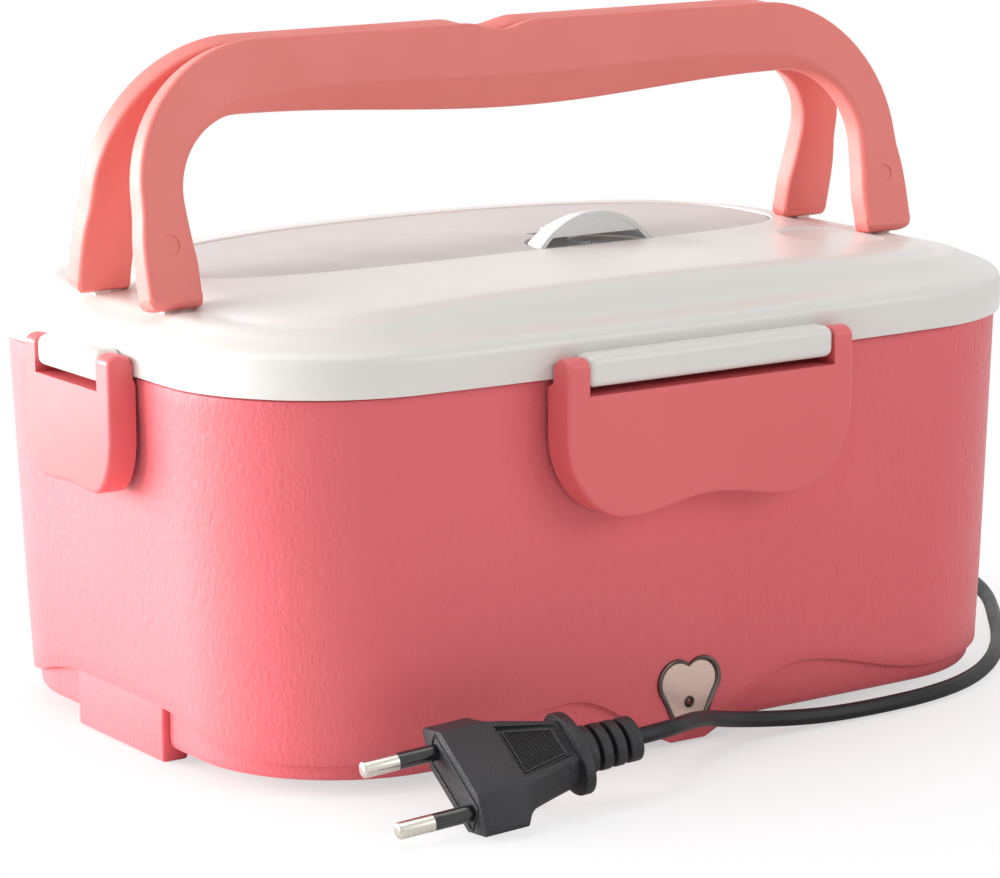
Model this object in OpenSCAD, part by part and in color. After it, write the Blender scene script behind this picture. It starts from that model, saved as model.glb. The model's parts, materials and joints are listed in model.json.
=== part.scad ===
// Electric lunch box: a heated case with a lift-off lid, clip latches, two bail handles and a mains lead.
// Millimetres. +X runs to the right along the long side, -Y is the front, +Z is up.
// The origin is on the surface that the case stands on, under its middle.

/* [Case] */
// Width of the lid, the widest part
lid_w = 240; // [225:1:260]
// Depth of the lid at the middle of its sides
lid_d = 162; // [152:1:176]
// Corner radius of the lid seen from above
lid_r = 43; // [36:1:48]
// How far the long sides draw in towards the corners
side_draw = 4; // [2:0.5:6]
// Height of the case body without its lid
body_h = 99; // [94:1:112]
// How far the body top stands inside the lid's edge
body_inset = 2.9; // [2.6:0.1:3.6]
// How far each short side leans in from top to bottom
body_lean = 2.6; // [0:0.2:4]
// Wall of the outer shell
shell_wall = 2.4; // [2.2:0.1:3]
// Wall of the outer shell where it laps the bottom cover
lap_wall = 1.3; // [1:0.1:1.6]
// Height of the lap over the bottom cover
lap_h = 25; // [22:1:27]
// Gap between the shell's lap and the bottom cover
lap_gap = 0.5; // [0.3:0.1:0.8]

/* [Wavy lower edge] */
// Height of the wave's crest beside the middle lobe
wave_crest_z = 15; // [11:0.5:18]
// Distance of the crest from the middle
wave_crest_x = 34; // [28:1:44]
// Height of the wave at the corners
wave_corner_z = 7.5; // [5:0.5:10]
// Height of the edge beside the end tabs
wave_tab_z = 13.5; // [10:0.5:17]
// Half width of the lobe's lowest part
lobe_half = 5; // [3:0.5:8]
// Height of the lobe above the surface
lobe_z = 0.4; // [0.2:0.1:1.5]
// Width of each end tab that the case stands on
tab_w = 43; // [34:1:50]
// Thickness of each end tab
tab_t = 7; // [4:0.5:9]

/* [Bottom] */
// Height of the rubber feet
foot_h = 3.2; // [2.4:0.2:4.4]
// Radius of the rubber feet
foot_r = 7; // [5:0.5:9]
// Feet to the middle, across
foot_x = 84; // [70:1:88]
// Feet to the middle, front to back
foot_y = 48; // [40:1:50]
// Floor and wall of the bottom cover
cover_wall = 2; // [1.6:0.1:2.4]
// Height of the bottom cover's wall
cover_h = 21; // [17:1:21]
// Rounding under the bottom cover
cover_round = 4; // [2:0.5:5]
// Radius of the case screws
screw_r = 1.4; // [1.2:0.1:1.6]
// Radius of the case screws' heads
screw_head_r = 2.9; // [2.6:0.1:3.4]
// Length of the case screws under their heads
screw_l = 15; // [10:1:20]

/* [Heated well] */
// Thickness of the well's top flange
well_flange = 2; // [1.6:0.1:2.4]
// Width of the well's top flange
well_rim_w = 11; // [9:0.5:13]
// Wall of the well
well_wall = 2; // [1.6:0.1:2.4]
// Height of the well's floor above the surface
well_floor_z = 32; // [31:1:34]
// Thickness of the well's floor
well_floor = 2.4; // [2:0.1:2.8]
// How far the well's wall leans in from top to floor
well_lean = 5; // [3:0.5:7]
// Length of the heater plate
plate_w = 144; // [130:2:150]
// Depth of the heater plate
plate_d = 88; // [76:2:92]
// Thickness of the heater plate
plate_t = 2.5; // [2:0.1:3]
// Length of the heater plate's pad
pad_w = 110; // [100:2:120]
// Depth of the heater plate's pad
pad_d = 54; // [50:2:60]
// How far the pad stands below the well's floor
pad_drop = 2; // [1:0.5:3]
// Length of the ceramic heater
ptc_w = 64; // [50:2:70]
// Depth of the ceramic heater
ptc_d = 28; // [24:1:30]
// Thickness of the ceramic heater
ptc_t = 6.5; // [5:0.5:7]
// Thickness of the heater clamp's sheet
clamp_t = 1.5; // [1.2:0.1:1.8]
// Width of the heater clamp
clamp_w = 20; // [14:1:26]
// Radius of the thermal fuse
fuse_r = 2.2; // [1.8:0.1:2.6]
// Length of the thermal fuse
fuse_l = 12; // [10:1:14]

/* [Food container and tray] */
// Sheet of the food container
pan_wall = 0.8; // [0.6:0.1:1.1]
// Width of the container's flange
pan_rim_w = 9; // [8:0.5:10]
// Gap between the container and the well
pan_gap = 1.4; // [1.1:0.1:2]
// Gap between the container and the heater plate
pan_seat = 0.3; // [0.2:0.1:0.5]
// Width of the side tray
tray_w = 68; // [58:1:76]
// Depth of the side tray
tray_d = 108; // [96:2:112]
// Height of the side tray
tray_h = 40; // [30:1:48]
// Wall of the side tray
tray_wall = 1.5; // [1.2:0.1:2]

/* [Lid] */
// How far the lid's skirt comes down over the body
skirt_lap = 4.2; // [3:0.2:6]
// Wall of the lid
lid_wall = 2.2; // [1.8:0.1:2.4]
// Height of the lid's rim above the body top
rim_h = 6.3; // [5.5:0.1:8]
// Height of the lid's raised middle above its rim
crown_h = 8.2; // [7.4:0.2:10]
// How far the raised middle falls towards the short sides
crown_fall = 2.2; // [1.5:0.1:3]
// Depth of the panel's recess
panel_depth = 1.1; // [0.8:0.1:1.4]
// Half length of the panel's recess
panel_a = 92; // [80:1:94]
// Half depth of the panel's recess
panel_b = 35; // [30:1:37]
// Distance of the recess behind the middle
panel_y = 20; // [16:1:21]
// Thickness of the panel
panel_t = 0.7; // [0.5:0.1:0.9]
// Thickness of the lid's inner plate
liner_t = 1.6; // [1.2:0.1:2]
// Height of the lid seal
seal_h = 2; // [1.7:0.1:2.1]
// Width of the lid seal
seal_w = 4; // [3:0.5:5]

/* [Latches] */
// Width of the front and back latches
long_latch_w = 84.8; // [74:0.4:96]
// Width of the left and right latches
short_latch_w = 42.8; // [38:0.4:50]
// Height of the lower lobes of the long latches above the surface
long_latch_z = 62.2; // [58:0.2:68]
// Height of the lower lobes of the short latches above the surface
short_latch_z = 67.3; // [62:0.1:70]
// Thickness of a latch's face
latch_t = 2.2; // [1.8:0.1:2.6]
// Width of a latch's ears
ear_w = 5.8; // [5:0.1:7]
// Radius of a latch's ears round their pin
ear_r = 3.3; // [3:0.1:3.4]
// Distance of the latch pins outside the lid's side
latch_out = 3.6; // [3.5:0.1:3.9]
// Height of the latch pins above the lid's lower edge
latch_up = 3.2; // [3:0.1:4]
// Radius of the latch pins
latch_pin_r = 1.1; // [0.9:0.1:1.3]
// Height of the bars between the ears
bar_h = 7.6; // [7:0.1:8]
// Gap between a bar and the ears
bar_gap = 0.4; // [0.3:0.1:0.6]
// How far the latch hooks reach under their catches
hook_bite = 1.3; // [0.8:0.1:1.6]
// Gap between hook and catch
hook_gap = 0.3; // [0.3:0.1:0.5]

/* [Handles] */
// How far the handles' sides stand inside the lid's short sides
handle_inset = 5; // [4:0.5:9]
// Height of a handle from its pins to its top edge
handle_h = 58; // [54:1:66]
// Thickness of a handle, front to back
handle_t = 7; // [6:0.2:7.2]
// Width of a handle's feet
handle_foot_w = 14.6; // [14:0.2:16]
// Width of a handle's legs above the feet
handle_leg_w = 11.8; // [10.5:0.1:13]
// Height of the grip at its ends
grip_h = 17.5; // [15:0.5:19]
// How much deeper the grip is at its middle
grip_belly = 3.6; // [2:0.2:5]
// Distance of the handle pins from the middle, front to back
handle_pin_y = 17.5; // [17:0.5:20]
// Height of the handle pins above the lid's rim
handle_pin_up = 8.2; // [8.1:0.1:8.8]
// Radius of the handle pins
handle_pin_r = 1.3; // [1:0.1:1.5]
// Gap between the two handles where they meet
handle_meet = 0.6; // [0.4:0.1:1]
// Thickness of the lid's handle lugs
lug_t = 5; // [4:0.2:5.4]

/* [Steam vent] */
// Distance of the vent to the right of the middle
vent_x = 14; // [-20:1:30]
// Distance of the vent cap's front edge behind the middle
vent_y = -12; // [-13:0.5:-8]
// Radius of the vent cap
vent_r = 17.5; // [13:0.5:18]
// Height of the vent cap's dome
vent_h = 8.5; // [6:0.5:9]
// Radius of the steam hole
steam_r = 3; // [2:0.25:4]

/* [Indicator] */
// Width of the heart-shaped indicator
heart_w = 19; // [15:0.5:21]
// Height of the indicator's middle above the surface
heart_z = 16.5; // [15:0.5:18]
// Width of the indicator's rim
heart_rim = 1.4; // [1:0.1:2]
// Radius of the indicator lamp
lamp_r = 1.5; // [1.2:0.1:2]

/* [Lead] */
// Diameter of the mains lead
lead_d = 4; // [3.6:0.1:4.2]
// Place of the lead's gland along the back
gland_x = 60; // [50:1:64]
// Height of the gland
gland_z = 31; // [31:1:34]
// Length of the strain relief
relief_l = 27; // [22:1:30]
// Width of the plug
plug_w = 33.4; // [31:0.2:36]
// Thickness of the plug
plug_t = 12.4; // [12:0.2:14]
// Length of the plug's body
plug_l = 28; // [24:1:30]
// Length of the plug's pins
pin_l = 19; // [18:0.5:19]
// Diameter of the plug's pins
pin_d = 4; // [3.9:0.1:4.1]
// Distance between the plug's pins
pin_pitch = 19; // [18:0.5:19]

/* [Hidden] */
$fn = 48;

pink = [0.86, 0.40, 0.43];
soft_pink = [0.93, 0.52, 0.52];
off_white = [0.94, 0.94, 0.92];
steel = [0.75, 0.76, 0.78];
black = [0.10, 0.10, 0.11];

arc_steps = 9;       // steps round a corner of the case
long_steps = 11;     // points along a long side
short_steps = 9;     // points along a short side
running = 0.05;      // radial clearance of a pin in its bore
air = 0.3;           // clearance between pieces of different bodies

// Heights
shell_top_z = body_h - well_flange;
lid_low_z = body_h - skirt_lap;
rim_z = body_h + rim_h;
crown_z = rim_z + crown_h;
pan_top_z = body_h + pan_wall;

// A closed outline with round corners whose long sides draw in towards the corners, anticlockwise from above
function corner_arc(cx, cy, r, from) = [for (i = [0:arc_steps])
    let (a = from + 90 * i / arc_steps) [cx + r * cos(a), cy + r * sin(a)]];
function between(p, q, n) = [for (i = [1:n]) p + (q - p) * i / (n + 1)];
function raw_outline(a, b, r) = concat(
    between([a, r - b], [a, b - r], short_steps), corner_arc(a - r, b - r, r, 0),
    between([a - r, b], [r - a, b], long_steps), corner_arc(r - a, b - r, r, 90),
    between([-a, b - r], [-a, r - b], short_steps), corner_arc(r - a, r - b, r, 180),
    between([r - a, -b], [a - r, -b], long_steps), corner_arc(a - r, r - b, r, 270));
function case_outline(inset, drop = 0) =
    let (a = lid_w / 2 - inset - drop, b = lid_d / 2 - inset, r = max(8, lid_r - inset))
    [for (p = raw_outline(a, b, r)) [p.x, p.y * (1 - side_draw / b * pow(p.x / (lid_w / 2), 2))]];
function lifted(points, z) = [for (p = points) [p.x, p.y, z]];

function total(v, i = 0) = i == len(v) - 1 ? v[i] : v[i] + total(v, i + 1);
function middle(v) = total(v) / len(v);
// A closed skin through rings of equal length; the rings turn anticlockwise seen from the last one
module skin(rings, closed = false) {
    n = len(rings[0]);
    m = len(rings);
    last = closed ? m - 1 : m - 2;
    sides = [for (i = [0:last]) for (j = [0:n - 1])
        let (k = (i + 1) % m, l = (j + 1) % n, a = i * n + j, b = i * n + l, c = k * n + l, d = k * n + j)
        each [[a, d, c], [a, c, b]]];
    caps = closed ? [] : [for (j = [0:n - 1]) let (l = (j + 1) % n, top = (m - 1) * n)
        each [[m * n, j, l], [m * n + 1, top + l, top + j]]];
    middles = closed ? [] : [middle(rings[0]), middle(rings[m - 1])];
    polyhedron(points = concat([for (r = rings) each r], middles), faces = concat(sides, caps), convexity = 10);
}

// A tube along points, square to its run
function unit(v) = v / norm(v);
function run_at(p, i) = i == 0 ? unit(p[1] - p[0])
    : i == len(p) - 1 ? unit(p[i] - p[i - 1]) : unit(unit(p[i] - p[i - 1]) + unit(p[i + 1] - p[i]));
function tube_ring(c, d, r, sides) =
    let (s = unit(cross([0, 0, 1], d)), u = cross(d, s))
    [for (k = [0:sides - 1]) c + r * (cos(360 * k / sides) * s + sin(360 * k / sides) * u)];
module tube(points, r, sides = 8) {
    skin([for (i = [0:len(points) - 1]) tube_ring(points[i], run_at(points, i), r, sides)]);
}
function length_of(p, i = 0) = i >= len(p) - 1 ? 0 : norm(p[i + 1] - p[i]) + length_of(p, i + 1);

module rod_x(r, l, center = true) { rotate([0, 90, 0]) cylinder(r = r, h = l, center = center); }
module rod_y(r, l, center = true) { rotate([-90, 0, 0]) cylinder(r = r, h = l, center = center); }
module block(size, at) { translate(at) cube(size, center = true); }

// ---- outer shell ----
tab_half = tab_w / 2;
shell_a = lid_w / 2 - body_inset - body_lean;
function wave_long(x) = x < lobe_half ? lobe_z
    : x < wave_crest_x ? lobe_z + (wave_crest_z - lobe_z) * sin(90 * (x - lobe_half) / (wave_crest_x - lobe_half))
    : wave_corner_z + (wave_crest_z - wave_corner_z) * pow(cos(90 * min(1, (x - wave_crest_x) / 44)), 2);
function wave_short(y) = wave_corner_z
    + (wave_tab_z - wave_corner_z) * pow(cos(90 * min(1, max(0, y - tab_half) / 34)), 2);
function wave_z(p) = let (b = lid_d / 2 - body_inset, t = max(0, abs(p.x) - (shell_a - lid_r)) / lid_r)
    abs(p.y) > b - lid_r && abs(p.x) < shell_a - lid_r + 20 ? wave_long(abs(p.x)) : wave_short(abs(p.y));
function shell_ring(inset, z, low = false) =
    let (drop = body_lean * (1 - z / shell_top_z))
    [for (p = case_outline(body_inset + inset, drop)) [p.x, p.y, low ? wave_z(p) : z]];
catch_z = long_latch_z + 14;
short_catch_z = short_latch_z + 10;
catch_out = 2.6;
catch_h = 2;
catch_w = 26;

module heart2d(w) {
    r = w * 0.29;
    hull() {
        translate([-w / 2 + r, w * 0.12]) circle(r);
        translate([0, -w * 0.34]) circle(w * 0.12);
    }
    hull() {
        translate([w / 2 - r, w * 0.12]) circle(r);
        translate([0, -w * 0.34]) circle(w * 0.12);
    }
}
module heart(w, from, to) {
    translate([0, to, heart_z]) rotate([90, 0, 0]) linear_extrude(to - from) heart2d(w);
}
front_y = -(lid_d / 2 - body_inset);

tab_top_z = lap_h - 4;
tab_x = shell_a + 0.25 - tab_t / 2;
gland_out = -front_y - side_draw * pow(gland_x / (lid_w / 2), 2) + air;

module outer_shell() color(pink) {
    step_z = lap_h;
    difference() {
        union() {
            skin([shell_ring(0, 2, true), shell_ring(0, 30), shell_ring(0, shell_top_z),
                shell_ring(shell_wall, shell_top_z), shell_ring(shell_wall, step_z + 1.5),
                shell_ring(lap_wall, step_z), shell_ring(lap_wall, 2, true)], closed = true);
            for (s = [-1, 1]) {
                block([tab_t, tab_w, tab_top_z], [s * tab_x, 0, tab_top_z / 2]);
                block([catch_w, catch_out + 1.4, catch_h],
                    [0, s * (-front_y + catch_out / 2 - 0.7), catch_z + catch_h / 2]);
                block([4.5, catch_w * 0.6, catch_h],
                    [s * (lid_w / 2 - body_inset - 0.5 + catch_out - 2.25), 0, short_catch_z + catch_h / 2]);
            }
        }
        heart(heart_w, front_y - 3, front_y + 4);
        translate([gland_x, -front_y, gland_z]) rod_y(5.2, 14);
    }
}

// ---- bottom cover, feet, screws ----
cover_inset = body_inset + lap_wall + lap_gap;
screw_spots = [[92, 24], [92, -24], [-92, 24], [-92, -24], [0, 54], [0, -54]];
function cover_ring(inset, z) = lifted(case_outline(cover_inset + inset, body_lean), z);
module bottom_cover() color(pink) {
    top = foot_h + cover_h;
    difference() {
        skin([cover_ring(cover_round, foot_h), cover_ring(cover_round * 0.3, foot_h + cover_round * 0.3),
            cover_ring(0, foot_h + cover_round), cover_ring(0, top), cover_ring(cover_wall, top),
            cover_ring(cover_wall, foot_h + cover_round + 1), cover_ring(cover_round + 1, foot_h + cover_wall)]);
        for (p = screw_spots) translate([p.x, p.y, foot_h - 1]) cylinder(r = screw_r + 0.3, h = 8);
        for (s = [-1, 1]) block([tab_t + 4, tab_w + 2 * air, 60], [s * (tab_x + 2 - air), 0, 0]);
        translate([0, front_y + lap_wall + 3, lamp_z]) rod_y(lamp_r + air, 8);
    }
}
module rubber_feet() color(black) {
    for (x = [-foot_x, foot_x]) for (y = [-foot_y, foot_y]) translate([x, y, 0]) {
        cylinder(r1 = foot_r - 0.6, r2 = foot_r, h = foot_h * 0.4);
        translate([0, 0, foot_h * 0.4]) cylinder(r = foot_r, h = foot_h * 0.6);
    }
}
module case_screws() color(steel) {
    for (p = screw_spots) translate([p.x, p.y, foot_h - 1.6]) {
        difference() {
            cylinder(r = screw_head_r, h = 1.6);
            for (a = [0, 90]) rotate(a) block([3.6, 0.8, 1.6], [0, 0, 0]);
        }
        cylinder(r = screw_r, h = 1.6 + screw_l);
    }
}

// ---- well, heater ----
well_in = body_inset + well_rim_w;
function well_ring(inset, z) =
    let (lean = well_lean * max(0, (shell_top_z - z) / (shell_top_z - well_floor_z)))
    lifted(case_outline(well_in + inset + lean), z);
plate_z = well_floor_z + well_floor;
pad_z = well_floor_z - pad_drop;
module round_slab(w, d, h, r, z) {
    translate([0, 0, z]) linear_extrude(h) {
        square([w - 2 * r, d], center = true);
        square([w, d - 2 * r], center = true);
        for (x = [-1, 1]) for (y = [-1, 1]) translate([x * (w / 2 - r), y * (d / 2 - r)]) circle(r);
    }
}
module inner_well() color(pink) {
    rim_out = body_inset + 0.2;
    boss_top = well_floor_z + 0.5;
    difference() {
        union() {
            skin([lifted(case_outline(rim_out), shell_top_z), lifted(case_outline(rim_out), body_h),
                well_ring(0, body_h), well_ring(0, well_floor_z + well_floor + 3),
                well_ring(1.5, well_floor_z + well_floor), well_ring(26, well_floor_z + well_floor),
                well_ring(26, well_floor_z), well_ring(1 - well_wall, well_floor_z),
                well_ring(-well_wall, well_floor_z + 3), well_ring(-well_wall, shell_top_z)], closed = true);
            difference() {
                round_slab(plate_w + 30, plate_d + 16, well_floor, 8, well_floor_z);
                round_slab(pad_w + 1, pad_d + 1, 9, 4.5, well_floor_z - 3);
            }
            for (p = screw_spots) translate([p.x, p.y, foot_h + cover_wall + 0.2])
                cylinder(r = 3.6, h = boss_top - foot_h - cover_wall - 0.2);
        }
        for (p = screw_spots) translate([p.x, p.y, foot_h]) cylinder(r = screw_r + running, h = screw_l + 1);
    }
}
module heater_plate() color(steel) {
    difference() {
        union() {
            round_slab(plate_w, plate_d, plate_t, 12, plate_z);
            round_slab(pad_w, pad_d, plate_z - pad_z + 0.5, 4, pad_z);
        }
        for (s = [-1, 1]) translate([0, s * clamp_screw_y, pad_z - 1]) cylinder(r = 1.5 + running, h = 5.2);
    }
}
clamp_screw_y = ptc_d / 2 + 7;
module ptc_heater() color([0.82, 0.80, 0.74]) {
    block([ptc_w, ptc_d, ptc_t], [0, 0, pad_z - ptc_t / 2]);
    for (x = [-6, 6]) block([8, 3, 0.8], [ptc_w / 2 + 3.9, x, pad_z - ptc_t / 2]);
}
module heater_clamp() color(steel) {
    leg_y = ptc_d / 2 + air;
    low = pad_z - ptc_t - clamp_t;
    difference() {
        union() {
            block([clamp_w, 2 * leg_y + 2 * clamp_t, clamp_t], [0, 0, low + clamp_t / 2]);
            for (s = [-1, 1]) {
                block([clamp_w, clamp_t, pad_z - low], [0, s * (leg_y + clamp_t / 2), (pad_z + low) / 2]);
                block([clamp_w, 10, clamp_t], [0, s * (leg_y + 5), pad_z - clamp_t / 2]);
            }
        }
        for (s = [-1, 1]) translate([0, s * clamp_screw_y, low]) cylinder(r = 1.7, h = 20);
    }
}
module heater_screws() color(steel) {
    for (s = [-1, 1]) translate([0, s * clamp_screw_y, pad_z - clamp_t]) {
        translate([0, 0, -2]) cylinder(r = 2.8, h = 2);
        cylinder(r = 1.5, h = 5);
    }
}
fuse_at = [ptc_w / 2 + 16, 0, pad_z - fuse_r - 0.05];
module thermal_fuse() color([0.85, 0.83, 0.75]) translate(fuse_at) {
    rod_y(fuse_r, fuse_l);
    for (s = [-1, 1]) translate([0, s * (fuse_l / 2 + 2.5), 0]) rod_y(0.5, 5);
}
module fuse_clip() color(steel) translate(fuse_at) difference() {
    block([8, 5, fuse_r + 1.2], [0, 0, -(fuse_r + 1.2) / 2 + 0.4]);
    rod_y(fuse_r + 0.04, 30);
    block([2 * fuse_r + 0.08, 8, 6], [0, 0, 3]);
}
block_z = foot_h + cover_wall;
block_y = 30;
module terminal_block() color(off_white) difference() {
    block([24, 13, 9], [gland_x, block_y, block_z + 4.5]);
    for (x = [-6, 6]) translate([gland_x + x, block_y, block_z + 5]) rod_y(1.6, 14);
}

// ---- indicator ----
module indicator_bezel() color(black) difference() {
    heart(heart_w - 0.2, front_y - 0.7, front_y + 1.6);
    heart(heart_w - 2 * heart_rim, front_y - 2, front_y + 3);
}
module indicator_window() color([0.85, 0.80, 0.76]) difference() {
    heart(heart_w - 2 * heart_rim - 0.1, front_y - 0.1, front_y + 1.6);
    translate([0, front_y, lamp_z]) rod_y(lamp_r + 0.1, 10);
}
lamp_z = heart_z - heart_w * 0.15;
lamp_board_y = front_y + 10;
module indicator_lamp() color([0.8, 0.1, 0.1]) translate([0, front_y + 0.6, lamp_z]) {
    rod_y(lamp_r, 8, false);
    translate([0, 5, 0]) rod_y(lamp_r + 0.5, lamp_board_y - front_y - 5.6, false);
}
module lamp_board() color([0.15, 0.42, 0.22]) {
    block([22, 1.5, 14], [0, lamp_board_y + 0.75, block_z + 7]);
    for (x = [-6, 6]) block([3, 2, 1.4], [x, lamp_board_y + 2.5, block_z + 8]);
}

// ---- inner wiring ----
wire_r = 0.9;
module inner_wires() {
    tab_end = [ptc_w / 2 + 8, pad_z - ptc_t / 2];
    color([0.7, 0.15, 0.12]) tube([[54, 23.2, block_z + 5], [54, 18, block_z + 6], [53, 12, block_z + 9],
        [50, 8, block_z + 13], [46, 6.5, block_z + 17.3], [43, 6.2, tab_end.y - 0.8], [tab_end.x, 6, tab_end.y]],
        wire_r, 6);
    color([0.2, 0.3, 0.6]) tube([[66, 23.2, block_z + 5], [66, 17, block_z + 5.5], [65, 8, block_z + 6],
        [60, -4, block_z + 8], [53, -8.5, block_z + 13], [46, -6.5, block_z + 17.3],
        [43, -6.2, tab_end.y - 0.8], [tab_end.x, -6, tab_end.y]], wire_r, 6);
    color([0.7, 0.15, 0.12]) tube([[72.3, 30, block_z + 2], [76, 26, block_z + 2], [76, 10, block_z + 1.5],
        [70, -20, block_z + 1.2], [50, -40, block_z + 1.2], [24, -46, block_z + 1.2], [14, -58, block_z + 2.5],
        [10, -62, block_z + 4], [9, lamp_board_y + 1.55, block_z + 4.5]], wire_r, 6);
}
anchor_y = 54;
lead_r = lead_d / 2;
lead_from = gland_out + 9;
anchor_z = block_z + 8;
module inner_lead() color(black) {
    tube([[gland_x, lead_from, gland_z], [gland_x, gland_out - 5.4, gland_z],
        [gland_x, gland_out - 9.4, gland_z - 1.6], [gland_x, gland_out - 12.4, gland_z - 5.5],
        [gland_x, gland_out - 14.4, gland_z - 11], [gland_x, anchor_y + 7, anchor_z + 2],
        [gland_x, anchor_y + 4.5, anchor_z + 0.3], [gland_x, anchor_y, anchor_z],
        [gland_x, anchor_y - 8, anchor_z - 1], [gland_x, anchor_y - 11, anchor_z - 2.5]], lead_r);
    for (s = [-1, 1]) tube([[gland_x + s * 0.9, anchor_y - 10.6, anchor_z - 2.3],
        [gland_x + s * 3, anchor_y - 13.5, anchor_z - 3], [gland_x + s * 6, block_y + 6.7, block_z + 5]], wire_r, 6);
}

// ---- gland and anchor ----
module cord_gland() color(black) difference() {
    union() {
        translate([gland_x, gland_out, gland_z]) rod_y(7.5, 2.4, false);
        translate([gland_x, gland_out - shell_wall - 0.9, gland_z]) rod_y(5, shell_wall + 1, false);
        translate([gland_x, gland_out - shell_wall - 3.4, gland_z]) rod_y(6.4, 2.5, false);
        translate([gland_x, gland_out + 2, gland_z]) rotate([-90, 0, 0])
            cylinder(r1 = 5, r2 = lead_r + 1, h = relief_l - 2);
        for (i = [0:4]) translate([gland_x, gland_out + 5 + 4.4 * i, gland_z]) rod_y(5.1 - 0.42 * i, 1.8, false);
    }
    translate([gland_x, gland_out, gland_z]) rod_y(lead_r + 0.1, 2 * relief_l + 4);
}
module cord_anchor() color(off_white) {
    post_h = anchor_z + lead_r - block_z;
    translate([gland_x, anchor_y, block_z]) {
        for (s = [-1, 1]) block([5, 8, post_h], [s * 5.4, 0, post_h / 2]);
        block([16, 8, 2], [0, 0, post_h + 1.1]);
    }
}

// ---- food container and tray ----
function pan_ring(inset, z) =
    let (lean = well_lean * max(0, (shell_top_z - z) / (shell_top_z - well_floor_z)))
    lifted(case_outline(well_in + pan_gap + inset + lean), z);
pan_floor_z = plate_z + plate_t + pan_seat;
pan_rim_in = well_in + pan_gap - pan_rim_w;
module food_container() color(steel) {
    w = pan_wall;
    skin([pan_ring(9, pan_floor_z), pan_ring(2.4, pan_floor_z + 1.6), pan_ring(0, pan_floor_z + 8),
        pan_ring(0, body_h), lifted(case_outline(pan_rim_in), body_h), lifted(case_outline(pan_rim_in), pan_top_z),
        pan_ring(w, pan_top_z), pan_ring(w, pan_floor_z + 8.4), pan_ring(2.4 + w, pan_floor_z + 1.6 + w),
        pan_ring(9 + w, pan_floor_z + w)]);
}
tray_x = lid_w / 2 - well_in - well_lean - pan_gap - tray_w / 2 - 5.5;
tray_z = pan_floor_z + pan_wall + air;
module tray_solid(grow, from, to) {
    hull() {
        round_slab(tray_w - 8 - 2 * grow, tray_d - 8 - 2 * grow, 0.1, 20 - grow, from);
        round_slab(tray_w - 2 * grow, tray_d - 2 * grow, 0.1, 24 - grow, to - 0.1);
    }
}
module side_tray() color(off_white) translate([tray_x, 0, 0]) difference() {
    union() {
        tray_solid(0, tray_z, tray_z + tray_h);
        round_slab(tray_w + 3, tray_d + 3, 1.4, 25, tray_z + tray_h - 1.4);
    }
    tray_solid(tray_wall, tray_z + tray_wall, tray_z + tray_h + 0.2);
}

// ---- lid ----
// Height that the lid's top gains or loses towards the short sides
function crown_at(p, ends) = ends * pow(abs(p.x) / (lid_w / 2 - 20), 2);
function lid_ring(inset, z, ends = 0) = [for (p = case_outline(inset)) [p.x, p.y, z + crown_at(p, ends)]];
function panel_point(a, b, t) = let (c = cos(t), s = sin(t), e = 2 / 2.6)
    [a * sign(c) * pow(abs(c), e), b * sign(s) * pow(abs(s), e)];
function angle_of(p, a, b) = atan2(p.y / b, p.x / a);
function panel_ring(shrink, z, k = 1, fall = crown_fall) =
    [for (p = case_outline(20)) let (
        q = k * panel_point(panel_a - shrink, panel_b - shrink, angle_of(p, lid_w / 2 - 20, lid_d / 2 - 20)),
        w = [q.x, q.y + panel_y]) [w.x, w.y, z + crown_at(w, -fall)]];
bar_half_long = long_latch_w / 2 - ear_w - bar_gap;
bar_half_short = short_latch_w / 2 - ear_w - bar_gap;
latch_z = lid_low_z + latch_up;
handle_z = rim_z + handle_pin_up;
handle_w = lid_w - 2 * handle_inset;
lug_x = handle_w / 2 - handle_foot_w / 2;
lug_r = 2.4;
foot_round = 4;
lug_post = 2.8;
lug_arm = foot_round + 0.5 + lug_post;
floor_z = crown_z - panel_depth;
vent_back = vent_y + vent_r + 1.5;
vent_pin_z = floor_z + 1.9;
vent_pin_r = 0.7;
liner_z = pan_top_z + 0.2 + seal_h;
post_spots = [[60, 38], [60, -38], [-60, 38], [-60, -38]];

module hinge_bar(half) {
    // Runs along X, with its back in the lid's side at +Y
    back = latch_out + 0.8;
    front = ear_r - 0.1;
    r = 1.6;
    translate([-half, 0, 0]) rotate([90, 0, 90]) linear_extrude(2 * half) hull() {
        for (y = [-front + r, back - r]) for (z = [-bar_h / 2 + r, bar_h / 2 - r])
            translate([y, z]) circle(r, $fn = 24);
    }
}
module at_latches() {
    // Outward is -Y for each child; the first goes on the long sides, the second on the short ones
    for (a = [0, 180]) rotate(a) translate([0, -(lid_d / 2 + latch_out), latch_z]) children(0);
    for (a = [90, -90]) rotate(a) translate([0, -(lid_w / 2 + latch_out), latch_z]) children(1);
}
module at_handle_pins() {
    // The rear ones are mirrored, so +Y is towards the middle for each child
    for (x = [-lug_x, lug_x]) for (rear = [0, 1])
        mirror([0, rear, 0]) translate([x, -handle_pin_y, handle_z]) children();
}
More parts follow.
